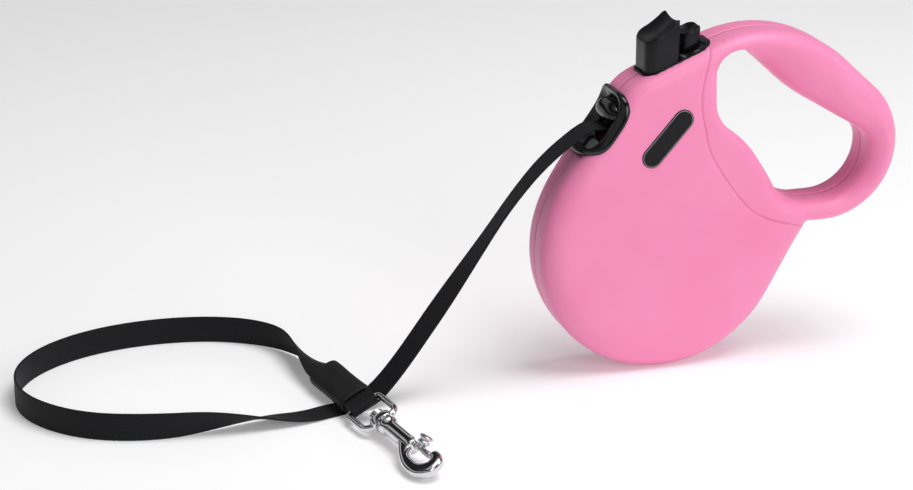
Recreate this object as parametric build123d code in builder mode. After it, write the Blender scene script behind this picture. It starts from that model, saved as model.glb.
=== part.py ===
"""Retractable dog leash: pink housing with a looped hand grip, a sprung belt spool with a
brake and a lock, and a flat belt that ends in a rubber sleeve and a swivelling bolt snap.

Millimetres, +Z up.  The origin is the middle of the hand grip.  The housing stands in the XZ
plane with its thickness along Y; the belt leaves it towards -X.  Outlines of the housing are
drawn on side planes whose origin is the spool axis: their x is +X, their y is +Z, and their
normal is -Y, so a profile drawn at y_high is extruded towards -Y.
"""
from build123d import *
from math import acos, atan2, cos, degrees, hypot, pi, radians, sin, tan
import os

# ---------------------------------------------------------------- driving dimensions
SPOOL_X, SPOOL_Z = -97.0, -82.0      # spool axis, from the middle of the hand grip
HALF_THICK = 18.0                    # housing half thickness
WALL = 2.2
DISC_R = 70.0                        # round part of the housing
BODY_ROUND, GRIP_ROUND = 9.0, 3.0    # rounding of the body's and the handle's edges
FLOOR = SPOOL_Z - DISC_R             # what the free belt lies on

# Signed circles that the housing's outlines wrap round: x, z from the spool axis, radius;
# a negative radius is a hollow bend
HOUSING_OUTLINE = [(0, 0, DISC_R), (83.2, 3.0, -1.5), (91.5, 46.5, 42), (51, 41, 73.5),
                   (-1.8, 66.5, 30)]
FINGER_HOLE = [(38, 93, 13), (45.5, 79, 20), (-0.8, 13.7, -60), (82.5, 41.5, 25),
               (92, 42.5, 26), (104.5, 43.5, 13.5), (127.2, 150.6, -90)]
# Where the body shells meet the handle shells, from the deck down to the corner behind
SEAM = [(25.5, 116), (21.0, 106.5), (17.6, 95), (16.0, 80), (18.6, 65), (24.5, 47), (47, 17),
        (73, 5.6), (84, 4.0)]

BODY_SCREWS = [(-52.4, -36.7), (-13.3, -62.6), (50.5, -39.3), (-17, 75)]
HANDLE_SCREWS = [(88, 10.4), (126, 42), (99, 84)]
SCREW_R, SCREW_HEAD_R, SCREW_BOSS_R = 1.4, 2.8, 4.2
SCREW_SEAT_Y, SCREW_TIP_Y, SCREW_HEAD_T = 12.5, -11.5, 2.2

BELT_W, BELT_T = 15.0, 1.2           # belt width and thickness
AXLE_R, AXLE_END = 4.0, 14.8
FIT = 0.06                           # radial clearance of a running fit
HUB_R, HUB_WALL = 36.0, 3.0
COIL_R = 50.0                        # outside of the belt wound on the hub
FLANGE_R, FLANGE_T = 56.0, 2.2
TOOTH_ROOT_R, TOOTH_TIP_R, TOOTH_COUNT = 54.0, 59.0, 24
GAP_ANGLE = 8.0                      # opening between two ratchet teeth, degrees
CHANNEL = 8.2                        # half width of the belt channel between the flanges
SPRING_IN, SPRING_OUT, SPRING_COILS, SPRING_T, SPRING_W = 5.2, 32.6, 12, 0.4, 11.0

DECK_SLOPE = 22.1                    # rise of the deck under the buttons, degrees
DECK_X, DECK_Z = -6.5, 97.0          # a point on the deck, from the spool axis
BRAKE_FRONT, BRAKE_REAR, BRAKE_HALF_W = -12.8, 6.0, 11.2
BRAKE_BOTTOM = 90.5
TAB_FRONT, TAB_REAR, TAB_HALF_W = 8.5, 18.2, 6.8
STEM_FRONT, STEM_REAR, STEM_HALF_W = 10.5, 15.5, 4.0
LOCK_TRAVEL = 4.0
PLATE_FRONT, PLATE_REAR, PLATE_HALF_W, PLATE_T = -14.2, 24.0, 12.4, 1.6
PAWL_Y, PAWL_T = -8.4, 2.0           # the teeth of brake and lock stand in this slice
PEG_X, PEG_Z, PEG_R = 12.0, 90.0, 1.2    # the lock slider's drive peg
BRAKE_TIP, LOCK_TIP = 61.0, 58.6

FLANK = 54.6                         # slope of the housing's front flank, degrees
NOZZLE_X, NOZZLE_Z = -37.2, 68.5     # middle of the belt nozzle, on the flank
NOZZLE_L, NOZZLE_W = 41.0, 33.0
NOZZLE_PROUD, NOZZLE_DEEP = 4.5, 9.0
MOUTH_L, MOUTH_W, MOUTH_DEEP = 33.0, 24.4, 7.5

BADGE_X, BADGE_Z, BADGE_ANGLE = -2.7, 62.0, 48.5
BADGE_L, BADGE_W, BADGE_T = 37.0, 11.5, 0.8

# Bolt snap, in its own frame: x runs from the eye's bar to the hook, z is its flat side
BAR_AT = (-271.5, -34.4, FLOOR + 9.0)
SNAP_YAW, SNAP_ROLL, SNAP_PITCH = 11.0, 25.0, -1.1
EYE_WIRE, EYE_HALF, EYE_FRONT = 1.75, 9.8, 21.8
SWIVEL_R, BARREL_R = 2.1, 4.2
BOLT_R, BOLT_Y, BORE_BACK = 1.6, 2.0, 28.5
BOLT_BACK, BOLT_TIP, KNOB_X, HOUSING_END = 41.0, 70.8, 60.0, 56.5
TIP_X, HOOK_HALF = 70.9, 2.9         # face of the hook's tip; half thickness of the hook
SLEEVE_REAR, SLEEVE_FRONT, SLEEVE_W, SLEEVE_H = -50.0, -8.0, 18.6, 7.0
STRAP_T = 3.6                        # sewn double belt inside the sleeve

# Free belt: the points of its route, in three stretches that follow on from each other.
# The drop hangs from the nozzle to the floor, the flat stretch passes under the sleeve, and
# the loop stands on its edge round to the sleeve's rear mouth.
DROP = [(-143.0, 0.0, -17.6), (-158.5, -1.9, -26.5), (-179.5, -4.5, -47.0),
        (-201.5, -7.2, -75.5), (-226.0, -10.2, -107.0), (-251.0, -13.3, -138.5),
        (-266.5, -15.2, -151.2), (-283.0, -17.2, -151.4)]
FLAT = [(-285.0, -17.6), (-300.0, -23.0), (-319.5, -25.5)]
LOOP = [(-320.0, -25.5), (-346.0, -27.5), (-381.0, -27.0), (-415.0, -14.0),
        (-438.0, 14.0), (-442.0, 46.0), (-427.0, 75.0), (-397.0, 95.0),
        (-359.0, 102.0), (-321.0, 96.0), (-295.0, 78.0), (-284.0, 54.0), (-281.8, 18.4)]
# The lead inside the housing, from the coil's tangent to the nozzle's mouth, as x, z from
# the spool axis
LEAD = [(18.2, 47.7), (-14.0, 59.8), (-33.0, 67.2), (-44.5, 64.7)]


# ---------------------------------------------------------------- helpers
def side_plane(y):
    """The housing's outline plane at height y across the thickness."""
    return Plane((SPOOL_X, y, SPOOL_Z), x_dir=(1, 0, 0), z_dir=(0, -1, 0))


def deck_z(x):
    """Height of the deck's middle line above the spool axis."""
    return DECK_Z + (x - DECK_X) * tan(radians(DECK_SLOPE))


def mouth_plane(height):
    """The flank's plane under the belt nozzle: x up along the flank, y is +Y, z outwards."""
    out = Vector(-sin(radians(FLANK)), 0, cos(radians(FLANK)))
    origin = Vector(SPOOL_X + NOZZLE_X, 0, SPOOL_Z + NOZZLE_Z) + out * height
    return Plane(origin, x_dir=(cos(radians(FLANK)), 0, sin(radians(FLANK))), z_dir=out)


def snap_plane():
    """The bolt snap's frame: x along the snap, y to its right, z out of its flat side."""
    yaw, roll, pitch = radians(SNAP_YAW), radians(SNAP_ROLL), radians(SNAP_PITCH)
    along = Vector(sin(yaw) * cos(pitch), -cos(yaw) * cos(pitch), sin(pitch))
    level = Vector(cos(yaw), sin(yaw), 0)
    normal = along.cross(level) * cos(roll) - level * sin(roll)
    return Plane(BAR_AT, x_dir=along, z_dir=normal)


def wrap(circles, grow=0.0):
    """In a BuildLine, draw the closed line of arcs and tangents round the signed circles."""
    grown = [(x, z, r + grow) for x, z, r in circles]
    normals = []
    for i, (x1, z1, r1) in enumerate(grown):
        x2, z2, r2 = grown[(i + 1) % len(grown)]
        away = hypot(x2 - x1, z2 - z1)
        normals.append(atan2(z2 - z1, x2 - x1) + acos((r2 - r1) / away))

    def on_circle(i, angle):
        x, z, r = grown[i]
        return (x - r * cos(angle), z - r * sin(angle))

    for i in range(len(grown)):
        arrive, leave = normals[i - 1], normals[i]
        if grown[i][2] > 0:
            turn = (leave - arrive) % (2 * pi)
        else:
            turn = -((arrive - leave) % (2 * pi))
        ThreePointArc(on_circle(i, arrive), on_circle(i, arrive + turn / 2), on_circle(i, leave))
        Line(on_circle(i, leave), on_circle((i + 1) % len(grown), leave))


def route_radii(points):
    """Arc radius for each inner point of a route: 0.45 of the shorter run over tan(half turn)."""
    spots = [Vector(*p) for p in points]
    radii = []
    for before, here, after in zip(spots, spots[1:], spots[2:]):
        turn = (here - before).get_angle(after - here)
        shorter = min((here - before).length, (after - here).length)
        radii.append(0.45 * shorter / tan(radians(turn / 2)))
    return radii


def side_round(part, radius):
    """Round the rim of the face that looks towards -Y."""
    face = part.faces().filter_by(Axis.Y).sort_by(Axis.Y)[0]
    fillet(face.outer_wire().edges(), radius=radius)


def save(name, part):
    """Label a finished sub-part and write its STEP file."""
    part.label = name
    export_step(part, f"parts/{name}.step")
    print(f"{name}: {len(part.solids())} solid(s), {part.volume:.0f} mm3")


# ---------------------------------------------------------------- housing shells
def handle_region():
    """The space behind the seam between the body shells and the handle shells."""
    with BuildPart() as region:
        with BuildSketch(side_plane(1)):
            with BuildLine():
                seam = Spline(*SEAM)
                Polyline(seam @ 1, (84, -20), (160, -20), (160, 130), (19.5, 130), seam @ 0)
            make_face()
        extrude(amount=HALF_THICK + 2)
    return region.part


def cavity(inner_round):
    """Left half of the room inside the housing, up to the wall round the finger hole."""
    with BuildPart() as room:
        with BuildSketch(side_plane(0)):
            with BuildLine():
                wrap(HOUSING_OUTLINE, -WALL)
            make_face()
        extrude(amount=HALF_THICK - WALL)
        side_round(room.part, inner_round)
        with BuildSketch(side_plane(0)):
            with BuildLine():
                wrap(FINGER_HOLE, WALL)
            make_face()
        extrude(amount=HALF_THICK, mode=Mode.SUBTRACT)
    return room.part


def shell_half(edge_round, hole_round):
    """Left half of the whole housing as a hollow wall, from the parting plane outwards."""
    room = cavity(edge_round - WALL)
    with BuildPart() as half:
        with BuildSketch(side_plane(0)):
            with BuildLine():
                wrap(HOUSING_OUTLINE)
            make_face()
        extrude(amount=HALF_THICK)
        side_round(half.part, edge_round)
        with BuildSketch(side_plane(0)):
            with BuildLine():
                wrap(FINGER_HOLE)
            make_face()
        extrude(amount=HALF_THICK, mode=Mode.SUBTRACT)
        if hole_round:
            face = half.faces().filter_by(Axis.Y).sort_by(Axis.Y)[0]
            fillet(face.inner_wires()[0].edges(), radius=hole_round)
        add(room, mode=Mode.SUBTRACT)
    return half.part


def windows():
    """Openings of the housing: belt nozzle, brake button and lock stem."""
    with BuildPart() as holes:
        with BuildSketch(mouth_plane(-NOZZLE_DEEP - 0.3)):
            SlotOverall(NOZZLE_L + 0.4, NOZZLE_W + 0.4)
        extrude(amount=30)
        with BuildSketch(side_plane(BRAKE_HALF_W + 0.4)):
            with Locations(((BRAKE_FRONT + BRAKE_REAR) / 2, 100)):
                Rectangle(BRAKE_REAR - BRAKE_FRONT + 0.8, 36)
        extrude(amount=2 * (BRAKE_HALF_W + 0.4))
        with BuildSketch(side_plane(STEM_HALF_W + 0.4)):
            with Locations(((STEM_FRONT + STEM_REAR + LOCK_TRAVEL) / 2, 104)):
                Rectangle(STEM_REAR - STEM_FRONT + LOCK_TRAVEL + 0.8, 22)
        extrude(amount=2 * (STEM_HALF_W + 0.4))
    return holes.part


def shell(is_body, is_left, holes, region):
    """One of the four shells, with its screw bosses, holes and axle seat."""
    half = shell_half(BODY_ROUND, 0) if is_body else shell_half(GRIP_ROUND, GRIP_ROUND)
    spots = BODY_SCREWS if is_body else HANDLE_SCREWS
    inside = HALF_THICK - WALL
    guides, recess, shelf = bar_guides(), badge_recess(), spring_shelf()
    with BuildPart() as piece:
        add(half)
        add(region, mode=Mode.SUBTRACT if is_body else Mode.INTERSECT)
        with BuildSketch(side_plane(0)):
            with Locations(*spots):
                Circle(SCREW_BOSS_R)
        extrude(amount=inside + 0.5)
        if is_body:
            with BuildSketch(side_plane(-11.4)):
                Circle(AXLE_R + 3)
            extrude(amount=inside - 11.4 + 0.5)
            with BuildSketch(side_plane(-11.4)):
                Circle(AXLE_R)
            extrude(amount=AXLE_END - 11.4, mode=Mode.SUBTRACT)
        if is_left:
            screw_bottom = -SCREW_TIP_Y + 0.5
        else:
            screw_bottom = HALF_THICK + 1
        with BuildSketch(side_plane(0)):
            with Locations(*spots):
                Circle(SCREW_R + 0.1)
        extrude(amount=screw_bottom, mode=Mode.SUBTRACT)
        if not is_left:
            with BuildSketch(side_plane(-SCREW_SEAT_Y)):
                with Locations(*spots):
                    Circle(SCREW_HEAD_R + 0.3)
            extrude(amount=HALF_THICK, mode=Mode.SUBTRACT)
    with BuildPart() as placed:
        if is_left:
            add(piece.part)
        else:
            mirror(piece.part, about=Plane.XZ)
        add(holes, mode=Mode.SUBTRACT)
        if is_body and is_left:
            add(guides)
            add(recess, mode=Mode.SUBTRACT)
        if is_body and not is_left:
            add(shelf)
    return placed.part


def bar_guides():
    """Ribs of the left body shell on both sides of the brake bar and of the lock bar."""
    with BuildPart() as ribs:
        with BuildSketch(side_plane(PAWL_Y)):
            with Locations((-4.2, 75.7), (4.2, 75.7)):
                Rectangle(1.6, 13.4)
            with Locations((11.9, 72), (18.1, 72)):
                Rectangle(1.6, 12)
        extrude(amount=HALF_THICK - WALL + PAWL_Y)
    return ribs.part


def badge_recess():
    """Shallow stadium in the left face that the badge is glued into."""
    with BuildPart() as recess:
        with BuildSketch(side_plane(-HALF_THICK + BADGE_T / 2)):
            with Locations(Location((BADGE_X, BADGE_Z), BADGE_ANGLE)):
                SlotOverall(BADGE_L + 0.2, BADGE_W + 0.2)
        extrude(amount=2)
    return recess.part


def spring_shelf():
    """Shelf of the right body shell that the brake spring stands on."""
    with BuildPart() as shelf:
        with BuildSketch(side_plane(HALF_THICK - WALL + 0.5)):
            with Locations((0, 71)):
                Rectangle(11, 2)
        extrude(amount=HALF_THICK - WALL + 0.5 + 5.5)
    return shelf.part


# ---------------------------------------------------------------- fixed trim
def make_badge():
    with BuildPart() as badge:
        with BuildSketch(side_plane(-HALF_THICK + BADGE_T / 2)):
            with Locations(Location((BADGE_X, BADGE_Z), BADGE_ANGLE)):
                SlotOverall(BADGE_L, BADGE_W)
        extrude(amount=BADGE_T)
    return badge.part


def make_belt_nozzle():
    """Oval funnel in the flank that the belt runs out of."""
    with BuildPart() as nozzle:
        with BuildSketch(mouth_plane(-NOZZLE_DEEP)):
            SlotOverall(NOZZLE_L, NOZZLE_W)
        extrude(amount=NOZZLE_DEEP + NOZZLE_PROUD)
        outwards = Axis(mouth_plane(0).origin, mouth_plane(0).z_dir)
        fillet(nozzle.edges().group_by(outwards)[-1], radius=3)
        with BuildSketch(mouth_plane(-NOZZLE_DEEP - 1)):
            with Locations((0.5, 0)):
                RectangleRounded(11, 18.4, 2)
        extrude(amount=NOZZLE_DEEP + NOZZLE_PROUD + 2, mode=Mode.SUBTRACT)
        with BuildSketch(mouth_plane(NOZZLE_PROUD)):
            SlotOverall(MOUTH_L, MOUTH_W)
        with BuildSketch(mouth_plane(NOZZLE_PROUD - MOUTH_DEEP)):
            SlotOverall(MOUTH_L - 8, MOUTH_W - 8)
        loft(mode=Mode.SUBTRACT)
    return nozzle.part


def make_button_plate():
    """Plate on the deck round the brake button and under the lock tab."""
    above = Plane((SPOOL_X, 0, SPOOL_Z + 80))
    stem_x = (STEM_FRONT + STEM_REAR + LOCK_TRAVEL) / 2
    with BuildPart() as plate:
        with BuildSketch(above):
            with Locations(((PLATE_FRONT + PLATE_REAR) / 2, 0)):
                RectangleRounded(PLATE_REAR - PLATE_FRONT, 2 * PLATE_HALF_W, 4)
            with Locations(((BRAKE_FRONT + BRAKE_REAR) / 2, 0)):
                RectangleRounded(BRAKE_REAR - BRAKE_FRONT + 0.6, 2 * BRAKE_HALF_W + 0.6, 2.4,
                                 mode=Mode.SUBTRACT)
            with Locations((stem_x, 0)):
                RectangleRounded(STEM_REAR - STEM_FRONT + LOCK_TRAVEL + 0.6, 2 * STEM_HALF_W + 0.6,
                                 0.5, mode=Mode.SUBTRACT)
        extrude(amount=50)
        with BuildSketch(side_plane(PLATE_HALF_W + 1)):
            sloped_band(PLATE_FRONT - 1, PLATE_REAR + 1, PLATE_T, 0)
        extrude(amount=2 * PLATE_HALF_W + 2, mode=Mode.INTERSECT)
    return plate.part


def make_case_screws():
    with BuildPart() as screws:
        with BuildSketch(side_plane(SCREW_SEAT_Y)):
            with Locations(*BODY_SCREWS, *HANDLE_SCREWS):
                Circle(SCREW_R)
        extrude(amount=SCREW_SEAT_Y - SCREW_TIP_Y)
        with BuildSketch(side_plane(SCREW_SEAT_Y + SCREW_HEAD_T)):
            with Locations(*BODY_SCREWS, *HANDLE_SCREWS):
                Circle(SCREW_HEAD_R)
        extrude(amount=SCREW_HEAD_T)
        with BuildSketch(side_plane(SCREW_SEAT_Y + SCREW_HEAD_T)):
            with Locations(*BODY_SCREWS, *HANDLE_SCREWS):
                Rectangle(3.2, 0.8)
                Rectangle(0.8, 3.2)
        extrude(amount=1.2, mode=Mode.SUBTRACT)
    return screws.part


# ---------------------------------------------------------------- brake and lock
def make_brake_button():
    """Big thumb button, dished along its length, with its rear edge raised."""
    mid_x = (BRAKE_FRONT + BRAKE_REAR) / 2
    with BuildPart() as button:
        with BuildSketch(side_plane(BRAKE_HALF_W)):
            with BuildLine():
                Line((BRAKE_FRONT, 114.0), (BRAKE_FRONT, BRAKE_BOTTOM))
                Line((BRAKE_FRONT, BRAKE_BOTTOM), (BRAKE_REAR, BRAKE_BOTTOM))
                Line((BRAKE_REAR, BRAKE_BOTTOM), (BRAKE_REAR, 125.5))
                ThreePointArc((BRAKE_REAR, 125.5), (-3.5, 117.3), (BRAKE_FRONT, 114.0))
            make_face()
        extrude(amount=2 * BRAKE_HALF_W)
        corners = button.edges().filter_by(Axis.Z).sort_by(Axis.X)
        fillet(corners[:2], radius=5)
        fillet(button.edges().filter_by(Axis.Z).sort_by(Axis.X)[-2:], radius=2.5)
        with BuildSketch(side_plane(BRAKE_HALF_W - 2)):
            with Locations((mid_x, BRAKE_BOTTOM + 8)):
                Rectangle(BRAKE_REAR - BRAKE_FRONT - 4, 16.1)
        extrude(amount=2 * BRAKE_HALF_W - 4, mode=Mode.SUBTRACT)
        with BuildSketch(side_plane(BRAKE_HALF_W - 1)):
            with Locations((0, BRAKE_BOTTOM + 8.5)):
                Rectangle(9, 17)
        extrude(amount=2 * BRAKE_HALF_W - 2)
    return button.part


def make_brake_bar():
    """Bar under the brake button: its foot stops the spool, its arm sits on the spring."""
    with BuildPart() as bar:
        with BuildSketch(side_plane(PAWL_Y)):
            with Locations((0, (BRAKE_TIP + BRAKE_BOTTOM) / 2)):
                Rectangle(6, BRAKE_BOTTOM - BRAKE_TIP)
        extrude(amount=PAWL_T)
        with BuildSketch(side_plane(5)):
            with Locations((0, BRAKE_BOTTOM - 1.5)):
                Rectangle(9, 3)
        extrude(amount=5 - PAWL_Y + PAWL_T)
    return bar.part


def make_brake_spring():
    foot, head = 72.1, BRAKE_BOTTOM - 3.1
    wire_r, coil_r = 0.4, 3.2
    with BuildPart() as spring:
        with BuildLine():
            coil = Helix(pitch=2.4, height=head - foot - 2 * wire_r, radius=coil_r,
                         center=(SPOOL_X, 0, SPOOL_Z + foot + wire_r))
        with BuildSketch(Plane(coil @ 0, z_dir=coil % 0)):
            Circle(wire_r)
        sweep()
    return spring.part


def sloped_band(front, rear, top, bottom):
    """In a side sketch, the band between two heights over the deck's middle line."""
    corners = [(front, deck_z(front) + top), (front, deck_z(front) + bottom),
               (rear, deck_z(rear) + bottom), (rear, deck_z(rear) + top)]
    Polygon(*corners, align=None)


def make_lock_slider():
    """Small dished tab behind the brake button, with a stem, a foot and a drive peg."""
    lift = 0.25
    base_front = deck_z(TAB_FRONT) + PLATE_T + lift
    base_rear = deck_z(TAB_REAR) + PLATE_T + lift
    under = WALL / cos(radians(DECK_SLOPE)) + 0.4
    with BuildPart() as slider:
        with BuildSketch(side_plane(TAB_HALF_W)):
            with BuildLine():
                Polyline((TAB_FRONT, 115.0), (TAB_FRONT, base_front), (TAB_REAR, base_rear),
                         (TAB_REAR, 118.0))
                ThreePointArc((TAB_REAR, 118.0), (13.0, 114.0), (TAB_FRONT, 115.0))
            make_face()
        extrude(amount=2 * TAB_HALF_W)
        fillet(slider.edges().filter_by(Axis.Z), radius=1.8)
        with BuildSketch(side_plane(STEM_HALF_W)):
            sloped_band(STEM_FRONT, STEM_REAR, 3, -under - 1)
            sloped_band(8.6, 17.4, -under, -under - 2.4)
        extrude(amount=2 * STEM_HALF_W)
        with BuildSketch(side_plane(-STEM_HALF_W + 2)):
            with Locations((PEG_X, PEG_Z)):
                Circle(2.6)
            with Locations((PEG_X, PEG_Z + 4.5)):
                Rectangle(5.2, 9)
        extrude(amount=2)
        with BuildSketch(side_plane(-STEM_HALF_W)):
            with Locations((PEG_X, PEG_Z)):
                Circle(PEG_R)
        extrude(amount=-PAWL_Y + PAWL_T - STEM_HALF_W)
    return slider.part


def make_lock_bar():
    """Bar that the slider's peg pushes down into the spool's teeth through a slanted slot."""
    go_x = LOCK_TRAVEL * cos(radians(DECK_SLOPE))
    go_z = LOCK_TRAVEL * (sin(radians(DECK_SLOPE)) + 1)
    with BuildPart() as bar:
        with BuildSketch(side_plane(PAWL_Y)):
            with Locations((15, (LOCK_TIP + 84) / 2)):
                Rectangle(4, 84 - LOCK_TIP)
            with Locations((14, 91)):
                Rectangle(9, 15)
        extrude(amount=PAWL_T)
        with BuildSketch(side_plane(PAWL_Y)):
            with Locations(Location((PEG_X + go_x / 2, PEG_Z + go_z / 2),
                                    degrees(atan2(go_z, go_x)))):
                SlotCenterToCenter(hypot(go_x, go_z), 2 * (PEG_R + 0.2))
        extrude(amount=PAWL_T, mode=Mode.SUBTRACT)
    return bar.part


# ---------------------------------------------------------------- spool
def make_axle():
    """Fixed shaft of the spool, slotted for the inner end of the power spring."""
    with BuildPart() as axle:
        with BuildSketch(side_plane(AXLE_END)):
            Circle(AXLE_R)
        extrude(amount=2 * AXLE_END)
        with BuildSketch(side_plane(6)):
            Rectangle(2 * AXLE_R, 0.8)
        extrude(amount=12, mode=Mode.SUBTRACT)
    return axle.part


def ratchet_gap():
    """One gap between two teeth, at the top of the flange."""
    half = radians(GAP_ANGLE / 2)
    foot_x, foot_z = TOOTH_ROOT_R * sin(half), TOOTH_ROOT_R * cos(half)
    open_x, open_z = (TOOTH_TIP_R + 1) * sin(half), (TOOTH_TIP_R + 1) * cos(half)
    Polygon((-foot_x, foot_z), (foot_x, foot_z), (open_x, open_z), (-open_x, open_z), align=None)


def make_spool():
    """Hub and left flange in one piece; the flange's rim carries the ratchet teeth."""
    with BuildPart() as spool:
        with BuildSketch(side_plane(-CHANNEL)):
            Circle(TOOTH_TIP_R)
        extrude(amount=FLANGE_T)
        with BuildSketch(side_plane(-CHANNEL)):
            with PolarLocations(0, TOOTH_COUNT):
                ratchet_gap()
        extrude(amount=FLANGE_T, mode=Mode.SUBTRACT)
        with BuildSketch(side_plane(CHANNEL)):
            Circle(HUB_R)
            Circle(HUB_R - HUB_WALL, mode=Mode.SUBTRACT)
        extrude(amount=2 * CHANNEL)
        with BuildSketch(side_plane(-CHANNEL + 1.8)):
            Circle(8)
        extrude(amount=1.8)
        with BuildSketch(side_plane(0)):
            Circle(AXLE_R + FIT)
        extrude(amount=HALF_THICK, mode=Mode.SUBTRACT)
        with BuildSketch(side_plane(CHANNEL)):
            with PolarLocations(HUB_R - HUB_WALL / 2, 3):
                Circle(0.85)
        extrude(amount=7, mode=Mode.SUBTRACT)
    return spool.part


def make_spool_cover():
    """Right flange, which also closes the spring's room in the hub."""
    with BuildPart() as cover:
        with BuildSketch(side_plane(CHANNEL + FLANGE_T)):
            Circle(FLANGE_R)
            Circle(AXLE_R + FIT, mode=Mode.SUBTRACT)
            with PolarLocations(HUB_R - HUB_WALL / 2, 3):
                Circle(0.95, mode=Mode.SUBTRACT)
        extrude(amount=FLANGE_T)
        with BuildSketch(side_plane(CHANNEL + FLANGE_T + 1)):
            Circle(FLANGE_R)
            Circle(FLANGE_R - 2, mode=Mode.SUBTRACT)
        extrude(amount=1)
    return cover.part


def make_spool_screws():
    with BuildPart() as screws:
        with BuildSketch(side_plane(CHANNEL + FLANGE_T + 1.2)):
            with PolarLocations(HUB_R - HUB_WALL / 2, 3):
                Circle(1.7)
        extrude(amount=1.2)
        with BuildSketch(side_plane(CHANNEL + FLANGE_T)):
            with PolarLocations(HUB_R - HUB_WALL / 2, 3):
                Circle(0.8)
        extrude(amount=FLANGE_T + 6.5)
    return screws.part


def make_power_spring():
    """Flat strip wound in half circles from the axle's slot out to the hub's wall."""
    step = (SPRING_OUT - SPRING_IN) / (2 * SPRING_COILS)
    with BuildPart() as spring:
        with BuildSketch(side_plane(SPRING_W / 2 + 0.5)):
            with BuildLine() as winding:
                for turn in range(2 * SPRING_COILS):
                    side = 1 if turn % 2 == 0 else -1
                    radius = SPRING_IN + (turn + 0.5) * step
                    CenterArc((-0.5 * step * side, 0), radius, 90 - 90 * side, 180)
            trace(winding.edges(), SPRING_T)
        extrude(amount=SPRING_W)
    return spring.part


def make_belt_coil():
    """The rest of the belt, wound on the hub."""
    with BuildPart() as coil:
        with BuildSketch(side_plane(BELT_W / 2)):
            Circle(COIL_R)
            Circle(HUB_R, mode=Mode.SUBTRACT)
        extrude(amount=BELT_W)
    return coil.part


# ---------------------------------------------------------------- free belt
def strip(name, plane, points, line_width, depth):
    """A flat strip: the line's width in the plane, extruded to its depth both ways about it."""
    line = FilletPolyline(*points, radius=route_radii(points)) if len(points) > 2 else None
    with BuildPart() as belt:
        with BuildSketch(plane):
            trace(line, line_width)
        extrude(amount=depth / 2, both=True)
    section = line_width * depth
    print(f"{name}: radii", " ".join(f"{r:.0f}" for r in route_radii(points)))
    print(f"{name}: volume {belt.part.volume:.0f}, section x length {section * line.length:.0f}")
    save(name, belt.part)


def make_belt_stretches():
    """The lead inside the housing and the three free stretches."""
    strip("belt_lead", side_plane(0), LEAD, BELT_T, BELT_W)
    start, end = Vector(*DROP[0]), Vector(*DROP[-1])
    heading = Vector(end.X - start.X, end.Y - start.Y, 0).normalized()
    drop_plane = Plane((start.X, start.Y, 0), x_dir=heading, z_dir=heading.cross(Vector(0, 0, 1)))
    drop = [((Vector(*p) - drop_plane.origin).dot(heading), p[2]) for p in DROP]
    strip("belt_drop", drop_plane, drop, BELT_T, BELT_W)
    strip("belt_flat", Plane.XY.offset(FLOOR + BELT_T / 2), FLAT, BELT_W, BELT_T)
    strip("belt_loop", Plane.XY.offset(FLOOR + BELT_W / 2), LOOP, BELT_T, BELT_W)


def make_belt_sleeve():
    """Rubber sleeve over the sewn end of the belt."""
    with BuildPart() as sleeve:
        with BuildSketch(Plane(snap_plane().origin + snap_plane().x_dir * SLEEVE_REAR,
                               x_dir=snap_plane().y_dir, z_dir=snap_plane().x_dir)):
            RectangleRounded(SLEEVE_W, SLEEVE_H, 2.6)
            RectangleRounded(BELT_W + 0.6, STRAP_T, 0.25, mode=Mode.SUBTRACT)
        extrude(amount=SLEEVE_FRONT - SLEEVE_REAR)
    return sleeve.part


def make_belt_end():
    """Belt end inside the sleeve: folded round the eye's bar and sewn back on itself."""
    side = snap_side_plane()
    inner = EYE_WIRE + 0.1
    outer = inner + BELT_T
    with BuildPart() as end:
        with BuildSketch(side):
            Circle(outer)
            Polygon((0, -outer), (0, outer), (-4, outer), (SLEEVE_FRONT, STRAP_T / 2),
                    (SLEEVE_FRONT, -STRAP_T / 2), (-4, -outer), align=None)
            Circle(inner, mode=Mode.SUBTRACT)
            with Locations(((SLEEVE_REAR + 0.5 + SLEEVE_FRONT) / 2, 0)):
                Rectangle(SLEEVE_FRONT - SLEEVE_REAR - 0.5, STRAP_T)
        extrude(amount=BELT_W / 2, both=True)
    return end.part


# ---------------------------------------------------------------- bolt snap
def snap_side_plane():
    """Plane through the snap's axis seen from its side: x along the snap, y out of its flat."""
    frame = snap_plane()
    return Plane(frame.origin, x_dir=frame.x_dir, z_dir=frame.y_dir * -1)


def across(x, y=0.0):
    """Plane across the snap at x along it, centred y to its right."""
    frame = snap_plane()
    return Plane(frame.origin + frame.x_dir * x + frame.y_dir * y, x_dir=frame.y_dir,
                 z_dir=frame.x_dir)


def make_snap_eye():
    """Swivel eye: a wire frame round the belt's fold, with a drilled boss in front."""
    frame = snap_plane()
    with BuildPart() as eye:
        with BuildLine(frame):
            loop = FilletPolyline((0, 3), (0, EYE_HALF), (EYE_FRONT, EYE_HALF),
                                  (EYE_FRONT, -EYE_HALF), (0, -EYE_HALF), (0, -3),
                                  radius=[2.2, 5, 5, 2.2])
        with BuildSketch(Plane(loop @ 0, z_dir=loop % 0)):
            Circle(EYE_WIRE)
        sweep()
        with BuildSketch(Plane(frame.origin, x_dir=frame.x_dir, z_dir=frame.y_dir)):
            Circle(EYE_WIRE)
        extrude(amount=4, both=True)
        with BuildSketch(across(EYE_FRONT - 2.6)):
            RectangleRounded(12, 8.4, 3.8)
        extrude(amount=5.2)
        with BuildSketch(across(EYE_FRONT - 4)):
            Circle(SWIVEL_R + FIT)
        extrude(amount=8, mode=Mode.SUBTRACT)
    return eye.part


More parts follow.
